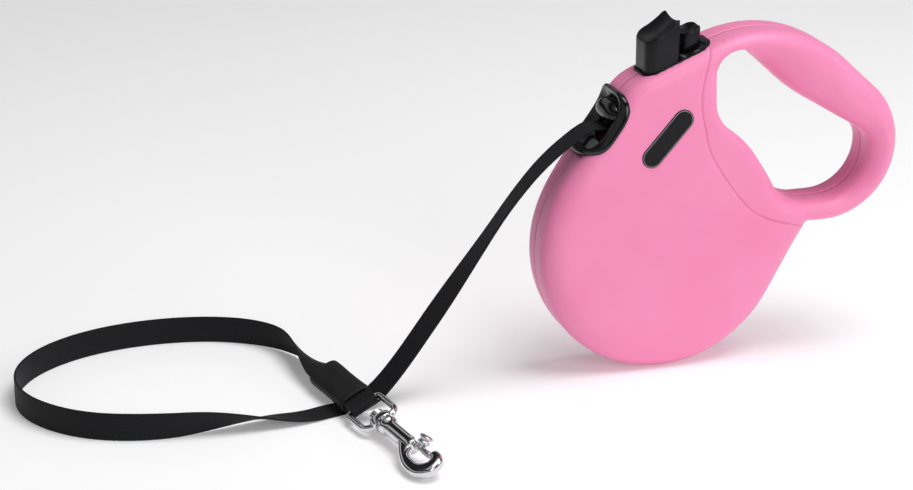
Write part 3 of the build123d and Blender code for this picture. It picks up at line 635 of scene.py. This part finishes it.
def cut_opening(piece, low, high, corner=0.0):
    """Cuts an opening, given by two side-plane corners with heights, in a skin; its two front
    corners may be cut off."""
    lo, hi = side(*low) * MM, side(*high) * MM
    off, margin = corner * MM, 4 * MM
    cuts = [(Vector((1, 0, 0)), lo), (Vector((-1, 0, 0)), hi), (Vector((0, 1, 0)), lo),
            (Vector((0, -1, 0)), hi)]
    if corner:
        cuts += [(Vector((1, 1, 0)), Vector((lo.x + off, lo.y, 0))),
                 (Vector((1, -1, 0)), Vector((lo.x + off, hi.y, 0)))]
    with editing(piece) as form:
        near = [f for f in form.faces if all(
            lo[k] - margin < f.calc_center_median()[k] < hi[k] + margin for k in range(3))]
        for normal, point in cuts:
            geom = near + list({e for f in near for e in f.edges}) + list(
                {v for f in near for v in f.verts})
            cut = bmesh.ops.bisect_plane(form, geom=geom, plane_co=point, plane_no=normal,
                                         dist=1e-7)
            near = [g for g in cut["geom"] if isinstance(g, bmesh.types.BMFace) and g.is_valid]
        inner = [f for f in form.faces if lo.z < f.calc_center_median().z < hi.z and all(
            (f.calc_center_median() - point).dot(normal) > 0 for normal, point in cuts)]
        bmesh.ops.delete(form, geom=inner, context="FACES")


def cut_mouth(piece):
    """Opens a skin under the belt nozzle's rim."""
    place = mouth_place()
    half_l, half_w, shift, deep = 18.2, 16.4, 1.4, 12
    with editing(piece) as form:
        gone = []
        for f in form.faces:
            away = f.calc_center_median() / MM - place.origin
            along, over = (away.dot(place.x) - shift) / half_l, away.dot(place.y) / half_w
            if abs(along) ** 3.4 + abs(over) ** 3.4 < 1 and away.dot(place.z) > -deep:
                gone.append(f)
        bmesh.ops.delete(form, geom=gone, context="FACES")


def make_shells(pink):
    housing = Housing()
    for is_left, word in ((True, "left"), (False, "right")):
        for part, faces in (("body", housing.body_faces), ("handle", housing.handle_faces)):
            piece = housing.shell(f"{part}_skin_{word}", faces, is_left)
            cut_opening(piece, (-13.2, 80, -11.5), (6.4, 120, 11.5), 3.8)
            cut_opening(piece, (10.1, 80, -4.4), (19.9, 125, 4.4))
            if part == "body":
                cut_mouth(piece)
            modifier(piece, "SOLIDIFY", thickness=2.0 * MM, offset=-1, use_rim=True,
                     use_even_offset=False)
            dress(piece, pink, "housing", "pink_shell", f"{part}_shell_{word}")


# ---------------- belt nozzle
def oval(place, half_l, half_w, height, shift, blunt, dip, count=72):
    """A rounded ring across the flank: blunt is the power of its upper end, and dip lowers
    its two sides to follow the round shell."""
    ring = []
    for a in turns(count):
        power = 2.7 + (blunt - 2.7) * (0.5 + 0.5 * cos(a))
        u = half_l * bent(cos(a), 2 / power) + shift
        v = half_w * bent(sin(a), 2 / power)
        ring.append(place.at(u, v, height - dip * (abs(v) / 17.5) ** 5))
    return ring


def make_nozzle(gloss):
    """Funnel with a swept lip, a flared mouth, and the throat that the belt comes out of."""
    place = mouth_place()
    # half length, half width, height, shift along the flank, bluntness, dip of the sides
    rings = [(19.0, 15.5, -6.0, 1.5, 4.4, 1.0), (19.8, 18.9, -1.4, 1.6, 4.4, 3.6),
             (20.0, 19.2, -0.7, 1.6, 4.4, 3.4), (20.0, 19.2, 0.8, 1.6, 4.4, 4.0),
             (19.8, 19.0, 2.0, 1.6, 4.3, 4.5), (19.3, 18.6, 3.0, 1.6, 4.2, 5.2),
             (18.6, 17.9, 3.4, 1.5, 4.1, 5.9), (17.9, 17.0, 3.2, 1.4, 4.0, 6.2),
             (17.2, 16.0, 2.2, 1.2, 3.9, 5.8), (16.2, 14.6, 0.0, 0.9, 3.6, 4.2),
             (14.8, 12.8, -2.4, 0.3, 3.2, 2.2), (13.2, 11.2, -4.0, -0.4, 3.0, 1.0),
             (11.0, 9.9, -5.0, -0.8, 3.5, 0.3), (8.0, 9.4, -5.9, -0.6, 4.0, 0.0),
             (6.2, 9.3, -7.0, 0.3, 5.0, 0.0), (5.6, 9.2, -9.0, 0.5, 6.0, 0.0)]
    piece = ring_loft("nozzle_funnel", [oval(place, *ring) for ring in rings])
    modifier(piece, "SUBSURF", levels=1, render_levels=2)
    dress(piece, gloss, "housing", "black_gloss", "belt_nozzle")
    dress(make_roller(place), gloss, "housing", "black_gloss")


def make_roller(place):
    """Rounded tongue at the upper end of the mouth, which the belt turns over."""
    rings = []
    for k in range(17):
        t = -1 + 2 * k / 16
        v = 13.0 * t                     # half its width
        radius = 5.4 * max(0.02, 1 - abs(t) ** 3.2) ** 0.5
        rings.append([place.at(10.2 + 1.15 * radius * cos(a), v, -3.0 + radius * sin(a))
                      for a in turns(28)])
    piece = loft("nozzle_guide", rings)
    modifier(piece, "SUBSURF", levels=1, render_levels=1)
    return piece


# ---------------- buttons
def rounded_plan(x0, x1, half, r_front, r_rear, count=8):
    """Plan outline of a button, as (x, y), with its own radii in front and behind."""
    corners = [(x1 - r_rear, half - r_rear, r_rear, 0), (x0 + r_front, half - r_front, r_front, 90),
               (x0 + r_front, -half + r_front, r_front, 180),
               (x1 - r_rear, -half + r_rear, r_rear, 270)]
    spots = []
    for cx, cy, r, start in corners:
        for k in range(count + 1):
            a = radians(start + 90 * k / count)
            spots.append((cx + r * cos(a), cy + r * sin(a)))
    whole = []
    for k, (x, y) in enumerate(spots):
        whole.append((x, y))
        if k % (count + 1) == count:
            x2, y2 = spots[(k + 1) % len(spots)]
            whole += [(x + (x2 - x) * i / 8, y + (y2 - y) * i / 8) for i in range(1, 8)]
    return whole


def shrink(outline, x_mid, by, half):
    """An outline drawn in towards its middle by a distance at its edges."""
    reach = max(abs(x - x_mid) for x, _ in outline)
    return [(x_mid + (x - x_mid) * (1 - by / reach), y * (1 - by / half)) for x, y in outline]


def dished_button(name, outline, x_mid, half, bottom, top, rings=9):
    """A button: straight sides, an eased edge, and a dished top given as top(x, y)."""
    skins = [[side(x, bottom(x), y) for x, y in outline]]
    for lift in (0.35, 0.7):
        skins.append([side(x, bottom(x) * (1 - lift) + (top(x, y) - 1.0) * lift, y)
                      for x, y in outline])
    for drop, inset in ((1.0, 0.0), (0.4, 0.15), (0.1, 0.5), (0.0, 1.1)):
        skins.append([side(x, top(x, y) - drop, y)
                      for x, y in shrink(outline, x_mid, inset, half)])
    for k in range(1, rings):
        inset = 1.1 + (half - 1.2) * k / (rings - 1)
        skins.append([side(x, top(x, y), y) for x, y in shrink(outline, x_mid, inset, half)])
    return loft(name, skins)


def make_brake_button(black):
    half, mid = 11.4, -3.4

    def top(x, y):
        t = max(0.0, (x + 12.4) / 17.8)
        ridge = 114.2 + 2.0 * t + 8.8 * t ** 1.8
        dish = (1.5 + 0.9 * t) * (1 - (abs(y) / half) ** 2)
        nose = 1.6 * max(0.0, 1 - t / 0.28) ** 2
        return ridge - dish * (0.35 + 0.65 * min(1, 3.2 * t * (1.35 - t))) - nose

    outline = rounded_plan(-12.4, 5.4, half, 6.0, 1.8)
    piece = dished_button("button_cap", outline, mid, half, lambda x: 90.5, top)
    dress(piece, black, "brake", "black_button", "brake_button")


def make_lock_tab(black):
    half, mid = 7.6, 13.9

    def top(x, y):
        t = (x - mid) / 5.4
        bowl = min(1.0, (t * t + (y / half) ** 2) ** 0.5)
        return 116.6 + 1.8 * t - 2.6 * (1 - bowl ** 2.4)

    outline = rounded_plan(8.5, 19.3, half, 4.2, 4.2)
    cap = dished_button("lock_cap", outline, mid, half, lambda x: deck_z(x) + 1.3, top, 7)
    stem = box_piece("lock_stem", (10.5, 15.5), (-4, 4), (-3.7, 3.0), sloped=True)
    foot = box_piece("lock_foot", (8.6, 17.4), (-4, 4), (-5.1, -2.8), sloped=True)
    leg = box_piece("lock_leg", (9.4, 14.6), (-4, -2), (88, 99))
    peg = [[side(12 + 1.2 * cos(a), 90 + 1.2 * sin(a), y) for a in turns(20)]
           for y in (-3, -10.4)]
    piece = join("lock_tab", [cap, stem, foot, leg, loft("lock_peg", peg)])
    dress(piece, black, "lock", "black_button", "lock_slider")


def box_piece(name, xs, ys, zs, sloped=False):
    """A small block; sloped heights are measured from the deck."""
    def spot(x, y, z):
        return side(x, z + (deck_z(x) if sloped else 0), y)
    rings = [[spot(x, ys[0], zs[0]), spot(x, ys[1], zs[0]), spot(x, ys[1], zs[1]),
              spot(x, ys[0], zs[1])] for x in xs]
    piece = loft(name, rings)
    modifier(piece, "BEVEL", width=0.4 * MM, segments=2, limit_method="ANGLE")
    return piece


def make_plate(black):
    """Thin plate round the buttons, with its sides bent down to the crowned deck."""
    outer = rounded_plan(-13.5, 24.6, 12.2, 7.0, 8.0, 10)
    inner = rounded_plan(-12.8, 19.9, 11.6, 6.4, 2.4, 10)
    steps = [(outer, -2.4, 0.0), (outer, 0.4, 0.0), (outer, 0.75, 0.15), (outer, 0.9, 0.45),
             (inner, 0.9, -0.1), (inner, 0.6, 0.0), (inner, -2.4, 0.0)]
    rings = []
    for line, height, inset in steps:
        drawn = shrink(line, 5.0, inset, 12.2)
        rings.append([side(x, deck_z(x) + height - 0.9 * (abs(y) / 12.2) ** 4, y)
                      for x, y in drawn])
    ring = ring_loft("plate_ring", rings)
    floor = box_piece("plate_floor", (6.2, 10.2), (-11.6, 11.6), (0.1, 0.85), sloped=True)
    sides = [box_piece(f"plate_side_{k}", (10.2, 20.0), ys, (0.1, 0.85), sloped=True)
             for k, ys in enumerate(((-11.7, -4.3), (4.3, 11.7)))]
    piece = join("plate", [ring, floor] + sides)
    dress(piece, black, "housing", "black_gloss", "button_plate")


def make_badge(black, rim):
    """Plain black badge: a stadium with a domed face and a fine pale line round it."""
    turn = radians(BADGE_ANGLE)

    def stadium(inset, proud, count=18):
        half_l, half_w = BADGE_L / 2 - inset, BADGE_W / 2 - inset
        ring = []
        for end, start in ((1, -90), (-1, 90)):
            for k in range(count + 1):
                a = radians(start + 180 * k / count)
                u = end * (half_l - half_w) + half_w * cos(a)
                v = half_w * sin(a)
                ring.append(side(BADGE_X + u * cos(turn) - v * sin(turn),
                                 BADGE_Z + u * sin(turn) + v * cos(turn), -HALF_THICK - proud))
        return ring

    # Each ring is set in from the badge's edge and stands proud of the shell
    face = [stadium(inset, proud) for inset, proud in (
        (0.0, -0.5), (0.0, 0.25), (0.15, 0.4), (0.4, 0.4), (1.5, 0.46), (3.5, 0.5))]
    dress(loft("badge_face", face), black, "housing", "badge", "badge")
    line = [stadium(inset, proud) for inset, proud in (
        (0.55, 0.36), (0.55, 0.45), (0.80, 0.47), (0.80, 0.36))]
    dress(ring_loft("badge_line", line), rim, "housing", "badge")


# ---------------- belt
def route_points():
    """Points read from the belt's route, in metres."""
    curve = bpy.data.curves.new("route", "CURVE")
    curve.dimensions = "3D"
    curve.resolution_u = 24
    spline = curve.splines.new("NURBS")
    spline.points.add(len(BELT_ROUTE) - 1)
    for point, spot in zip(spline.points, BELT_ROUTE):
        point.co = (*Vector(spot) * MM, 1)
    spline.use_endpoint_u = True
    spline.order_u = 3
    holder = add_object("route", curve)
    bpy.context.view_layer.update()
    mesh = bpy.data.meshes.new_from_object(holder)
    spots = [v.co.copy() for v in mesh.vertices]
    bpy.data.objects.remove(holder)
    kept = [spots[0]]
    for spot in spots[1:]:
        if (spot - kept[-1]).length > 0.8 * MM:
            kept.append(spot)
    return kept


def belt_across(t, way, snap):
    """The direction across the belt at a fraction t of its length."""
    near, rolled, up = Vector((-0.12, -0.99, 0)), Vector((0.05, -0.95, -0.27)), Vector((0, 0, 1))
    stops = [(0.0, Vector((0, -1, 0))), (0.09, near), (0.20, rolled), (0.27, rolled), (0.31, near),
             (0.50, up), (1.0, up)]
    wide = up
    for (t0, a), (t1, b) in zip(stops, stops[1:]):
        if t0 <= t <= t1:
            s = (t - t0) / (t1 - t0)
            s = s * s * (3 - 2 * s)
            wide = a * (1 - s) + b * s
            break
    wide = (wide - way * wide.dot(way)).normalized()
    # The far end leans towards the loop's inside and over, to lie along the sleeve
    if t > TWIST_FROM:
        last = -snap.y
        last = (last - way * last.dot(way)).normalized()
        angle = atan2(way.dot(wide.cross(last)), wide.dot(last))
        s = min(1.0, 0.84 * ((t - TWIST_FROM) / (1 - TWIST_FROM)) ** 2.2)
        wide = Matrix.Rotation(angle * s, 3, way) @ wide
    return wide


def belt_section():
    """Half round edges and a flat middle, as (across, through), in millimetres."""
    half, thin = BELT_W / 2, BELT_T / 2
    top = [(-half, 0.0), (-half + 0.12, thin * 0.75), (-half + 0.5, thin), (-half + 1.4, thin * 0.93),
           (-half + 4, thin * 0.97), (0, thin), (half - 4, thin * 0.97), (half - 1.4, thin * 0.93),
           (half - 0.5, thin), (half - 0.12, thin * 0.75), (half, 0.0)]
    return top + [(a, -b) for a, b in reversed(top[1:-1])]


def make_belt(cloth, snap):
    """One woven belt from the nozzle's mouth round its loop to the sleeve."""
    path = route_points()
    # The sewn end carries on into the sleeve
    spots = path + [snap.at(-49.6 + 0.8 * k, 0, 0) * MM for k in range(1, 12)]
    run = [0.0]
    for a, b in zip(spots, spots[1:]):
        run.append(run[-1] + (b - a).length)
    length = run[len(path) - 1]
    section = belt_section()
    rings = []
    for i, spot in enumerate(spots):
        way = (spots[min(i + 1, len(spots) - 1)] - spots[max(i - 1, 0)]).normalized()
        wide = belt_across(run[i] / length, way, snap)
        through = way.cross(wide)
        low = abs(wide.z) * BELT_W / 2 + abs(through.z) * BELT_T / 2
        lift = 0.0 if i >= len(path) else max(0.0, FLOOR * MM + low * MM + 0.00003 - spot.z)
        centre = spot + Vector((0, 0, lift))
        rings.append([(centre + wide * a * MM + through * b * MM) / MM for a, b in section])
    piece = belt_mesh("belt", rings[:len(path)], run)
    dress(piece, cloth, "housing", "belt", "belt_drop", "belt_flat", "belt_loop")
    tail = belt_mesh("belt_tail", rings[len(path) - 1:], run[len(path) - 1:])
    dress(tail, cloth, "housing", "belt")
    return piece, tail, path, length


def belt_mesh(name, rings, run):
    """A stretch of belt over its rings, with the distance along it as texture coordinates."""
    section = belt_section()
    around = len(section)
    points = [p for ring in rings for p in ring]
    faces = loft_faces(len(rings), around) + caps(around, len(points))
    piece = mesh_object(name, points, faces)
    layer = piece.data.uv_layers.new(name="belt")
    for loop in piece.data.loops:
        ring, spot = divmod(loop.vertex_index, around)
        layer.data[loop.index].uv = (run[ring], section[spot][0] * MM)
    return tidy_mesh(piece)


def make_lead(cloth):
    """The belt from the coil to its start in the nozzle's mouth."""
    line = smooth_curve(LEAD, 2.0)
    rings = []
    for (x, z), (out_x, out_z) in zip(line, left_of(np.gradient(line, axis=0))):
        rings.append([side(x + out_x * b, z + out_z * b, -a) for a, b in belt_section()])
    dress(loft("belt_lead_skin", rings), cloth, "housing", "belt", "belt_lead")


def make_sleeve(rubber_mat, snap):
    """Rubber sleeve shrunk over the sewn belt, with soft edges and faint waists."""
    steps = [(-48.6, 3.0), (-48.8, 1.6), (-48.2, 0.5), (-46.6, 0.05), (-40, 0.0), (-31, 0.2),
             (-22, 0.15), (-15, 0.0), (-11.5, -0.25), (-9.6, -0.25), (-8.6, 0.1), (-8.2, 0.7),
             (-8.4, 1.3), (-9.4, 1.6)]
    rings = []
    for x, inset in steps:
        half_w, half_h = 9.2 - min(inset, 1.6), 4.2 - min(inset, 1.9)
        rings.append([snap.at(x, half_w * bent(cos(a), 0.62), half_h * bent(sin(a), 0.8))
                      for a in turns(48)])
    piece = loft("sleeve", rings)
    modifier(piece, "SUBSURF", levels=1, render_levels=2)
    dress(piece, rubber_mat, "housing", "sleeve_rubber", "belt_sleeve")
    return piece


# ---------------- bolt snap
def lathe(name, place, stations, y=0.0, count=32):
    """A turned form along the snap; stations are (x, radius)."""
    return loft(name, [[place.at(x, y + r * cos(a), r * sin(a)) for a in turns(count)]
                       for x, r in stations])


def make_eye(chrome, snap):
    """Swivel eye: bar, bowed side wires, a broad front with its drilled boss."""
    half, front, wire_r = 9.8, 21.8, 1.75
    quarter = [radians(90 * k / 8) for k in range(9)]
    line = [(0, 0), (0, 3), (0, 6)]
    line += [(2.2 - 2.2 * cos(a), half - 2.2 + 2.2 * sin(a)) for a in quarter]
    line += [(6, half), (10, half), (14, half)]
    line += [(front - 5.5 + 5.5 * sin(a), half - 5.5 + 5.5 * cos(a)) for a in quarter]
    line += [(front, 2), (front, 0)]
    line += [(x, -y) for x, y in reversed(line[1:-1])]
    rings = []
    for i, (x, y) in enumerate(line):
        x1, y1 = line[i - 1]
        x2, y2 = line[(i + 1) % len(line)]
        way = Vector((x2 - x1, y2 - y1, 0)).normalized()
        high = wire_r * (1 + 0.25 * max(0.0, (x - 16) / 6))
        rings.append([snap.at(x - way.y * wire_r * cos(a), y + way.x * wire_r * cos(a),
                              high * sin(a)) for a in turns(18)])
    wire = ring_loft("eye_wire", rings)
    boss = []
    for x, grow in ((19.2, -0.5), (19.25, -0.1), (19.7, 0.0), (23.8, 0.0), (24.3, -0.15),
                    (24.4, -0.6)):
        boss.append([snap.at(x, (6.2 + grow) * bent(cos(a), 0.8), (4.3 + grow) * bent(sin(a), 0.9))
                     for a in turns(40)])
    for x in (24.4, 19.2):
        boss.append([snap.at(x, 2.2 * cos(a), 2.2 * sin(a)) for a in turns(40)])
    piece = join("eye", [wire, ring_loft("eye_boss", boss)])
    return dress(piece, chrome, "eye", "snap_chrome", "snap_eye")


def hook_outline():
    """The hook's flat outline, outer side then inner side, in the snap's frame."""
    outer = smooth_curve([(39, -2.2), (48, -4.6), (57, -9.2), (67, -12.2), (77, -11.4),
                          (83.4, -5), (81.5, 3.0), (77, 5.9), (72.9, 6.2)], 1.2)
    tip = np.array([(71.4, 5.4), (70.9, 4.2), (70.9, 1.6)])
    inner = smooth_curve([(71.6, 0.9), (74.3, 0.4), (75.6, -1.8), (71.5, -5.2), (61, -5),
                          (57.3, -2.2), (56.5, -1.0)], 1.2)
    back = np.array([(56.2, -0.2), (40, -0.2)])
    return np.vstack([outer, tip, inner, back])


def cushion_slab(name, place, outline, half, soft):
    """A flat form with generously rounded edges: rings drawn in from the outline."""
    count = len(outline)
    normal = left_of(np.roll(outline, -1, 0) - np.roll(outline, 1, 0))
    if not inside(outline[:1] + normal[:1] * 0.2, outline)[0]:
        normal = -normal
    rings = []
    for angle in range(-90, 91, 18):
        spots = outline + normal * soft * (1 - cos(radians(angle)))
        z = (half - soft) * np.sign(angle) + soft * sin(radians(angle))
        rings.append([place.at(x, y, z) for x, y in spots])
    points = [p for ring in rings for p in ring]
    piece = mesh_object(name, points, loft_faces(len(rings), count))
    with editing(piece) as form:
        form.verts.ensure_lookup_table()
        for first in (0, len(points) - count):
            bmesh.ops.triangle_fill(form, use_beauty=True, edges=[
                e for e in form.edges if all(first <= v.index < first + count for v in e.verts)])
    return tidy_mesh(piece)


def leaning(snap, x, over, up):
    """A place on the bolt's tilted thumb slot: over and up from the bolt's axis."""
    lean = radians(BOLT_LEAN)
    return snap.at(x, BOLT_Y + up * cos(lean) - over * sin(lean), up * sin(lean) + over * cos(lean))


def make_snap(chrome, snap):
    """Swivel head, neck, collar, barrel and hook."""
    ridges = [(14.4, 1.5), (14.4, 2.9), (14.8, 3.7), (15.5, 4.15)]
    for k in range(4):
        x = 15.6 + 0.75 * k
        ridges += [(x, 4.4), (x + 0.35, 4.4), (x + 0.5, 4.05), (x + 0.65, 4.05)]
    ridges += [(18.6, 4.2), (18.7, 3.6), (18.7, 2.1), (25.2, 2.1)]
    head = lathe("snap_head", snap, ridges)
    barrel = lathe("snap_barrel", snap, [
        (25.0, 2.0), (25.0, 4.1), (25.3, 4.8), (26.0, 5.2), (27.4, 5.2), (28.4, 5.5), (29.4, 5.4),
        (30.3, 4.7), (31.2, 4.3), (33, 4.2), (42, 4.2), (51, 4.2), (55.2, 4.2), (56.2, 4.0),
        (56.5, 3.6)])
    hook = cushion_slab("snap_hook", snap, hook_outline(), 2.9, 2.3)
    modifier(barrel, "SUBSURF", levels=1, render_levels=1)
    bore = lathe("bore", snap, [(28.6, 1.9), (57.5, 1.9)], y=BOLT_Y)
    corners = ((50.6, -2.3), (57.5, -2.3), (57.5, 2.3), (50.6, 2.3))
    slot = loft("slot", [[leaning(snap, x, over, up) for x, over in corners] for up in (0.0, 8.0)])
    for cutter in (bore, slot):
        modifier(barrel, "BOOLEAN", object=cutter, operation="DIFFERENCE", solver="EXACT")
    settle(barrel)
    for cutter in (bore, slot):
        bpy.data.objects.remove(cutter)
    whole = join("snap", [head, barrel, hook])
    return dress(whole, chrome, "snap", "snap_chrome", "snap_body")


def make_bolt(chrome, snap):
    """Sliding bolt with its waisted thumb knob."""
    pin = lathe("bolt_pin", snap, [(41, 1.0), (41.2, 1.7), (69.9, 1.7), (70.5, 1.4),
                                   (70.8, 0.8)], y=BOLT_Y, count=24)
    rings = []
    # height, radius across the bolt, and how much longer the knob is along it
    for up, r, long in ((0.5, 1.9, 1.25), (2.3, 1.9, 1.25), (2.6, 2.6, 1.2), (3.0, 3.1, 1.2),
                        (3.6, 3.3, 1.2), (4.2, 2.9, 1.2), (4.7, 2.3, 1.2), (5.1, 2.4, 1.3),
                        (5.6, 3.1, 1.35), (6.3, 3.4, 1.35), (6.9, 3.1, 1.35), (7.3, 2.2, 1.4),
                        (7.4, 1.0, 1.4)):
        rings.append([leaning(snap, 61 + r * long * cos(a), r * sin(a), up) for a in turns(28)])
    piece = join("bolt", [pin, loft("bolt_knob", rings)])
    return dress(piece, chrome, "bolt", "snap_chrome", "snap_bolt")


# ---------------- inside and stage
def paint_inside(inner, steel, spring, cloth):
    """Materials for the CAD nodes that stay."""
    groups = ((inner, ("brake_bar", "lock_bar", "spool", "spool_cover")),
              (steel, ("case_screws", "spool_screws", "axle")),
              (spring, ("power_spring", "brake_spring", "snap_spring")),
              (cloth, ("belt_coil", "belt_end")))
    for made, nodes in groups:
        for node in nodes:
            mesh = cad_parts[node].data
            mesh.materials.clear()
            mesh.materials.append(made)


def make_stage():
    """Pale floor, a banded sky for the metal to mirror, and soft studio light."""
    paint = Paint("floor", (0.93, 0.93, 0.935), 0.6, specular=0.2)
    paint.gloss(paint.noise(2.0), 0.5, 0.6)
    paint.inputs["Emission Color"].default_value = (1, 1, 1, 1)
    paint.inputs["Emission Strength"].default_value = 0.17
    corners = [(x, y, FLOOR - 0.05) for y in (-4000, 4000) for x in (-4200, 3800)]
    floor = mesh_object("floor", corners, [(0, 1, 3, 2)])
    floor.data.materials.append(paint.made)
    world = bpy.data.worlds.new("studio")
    bpy.context.scene.world = world
    world.use_nodes = True
    tree = world.node_tree
    shade = tree.nodes["Background"]
    shade.inputs["Strength"].default_value = 0.28
    way = tree.nodes.new("ShaderNodeTexCoord")
    split = tree.nodes.new("ShaderNodeSeparateXYZ")
    tree.links.new(way.outputs["Generated"], split.inputs["Vector"])
    dark, mid, pale, low = ((0.02, 0.02, 0.02), (0.25, 0.25, 0.26), (1.7, 1.7, 1.7),
                            (2.2, 2.2, 2.2))
    sky = ramp(tree, split.outputs["Z"], [
        (0.0, low), (0.05, low), (0.12, dark), (0.27, dark), (0.34, pale), (0.50, pale),
        (0.57, dark), (0.78, mid), (0.9, pale)])
    tree.links.new(sky, shade.inputs["Color"])
    bpy.context.scene.view_settings.view_transform = "Standard"
    lights = [("key", (150, -1500, 650), 900, 7.0), ("top", (250, -300, 1500), 1200, 19),
              ("fill", (1300, -700, 600), 700, 3)]
    for name, spot, size, power in lights:
        data = bpy.data.lights.new(name, "AREA")
        data.shape = "DISK"
        data.size = size * MM
        data.energy = power
        place_object(name, data, spot, (-150, 0, -60))


def main():
    make_camera()
    snap = snap_place()
    cloth = webbing("webbing", True)
    belt, tail, path, length = make_belt(cloth, snap)
    gloss = black_plastic("black_gloss", 0.08, 0.16, 0.000008, 0.15, 0.35)
    black = black_plastic("black_satin", 0.24, 0.36, 0.00002, 0.0, 0.22)
    chrome = metal("chrome", (0.72, 0.72, 0.73), 0.04, 0.10)
    sleeve = make_sleeve(rubber(), snap)
    eye = make_eye(chrome, snap)
    hook = make_snap(chrome, snap)
    bolt = make_bolt(chrome, snap)
    make_shells(pink_plastic())
    make_nozzle(gloss)
    make_brake_button(black)
    make_lock_tab(black)
    make_plate(black)
    make_badge(black_plastic("badge_black", 0.22, 0.32, 0.000008, 0.1, 0.12),
               Paint("badge_line", (0.35, 0.35, 0.36), 0.3).made)
    inner_cloth = webbing("webbing_inside", False)
    make_lead(inner_cloth)
    paint_inside(black_plastic("acetal", 0.35, 0.5, 0.00002, 0.0),
                 metal("zinc_steel", (0.55, 0.55, 0.56), 0.25, 0.4),
                 metal("spring_steel", (0.30, 0.32, 0.38), 0.25, 0.4), inner_cloth)
    make_stage()


main()
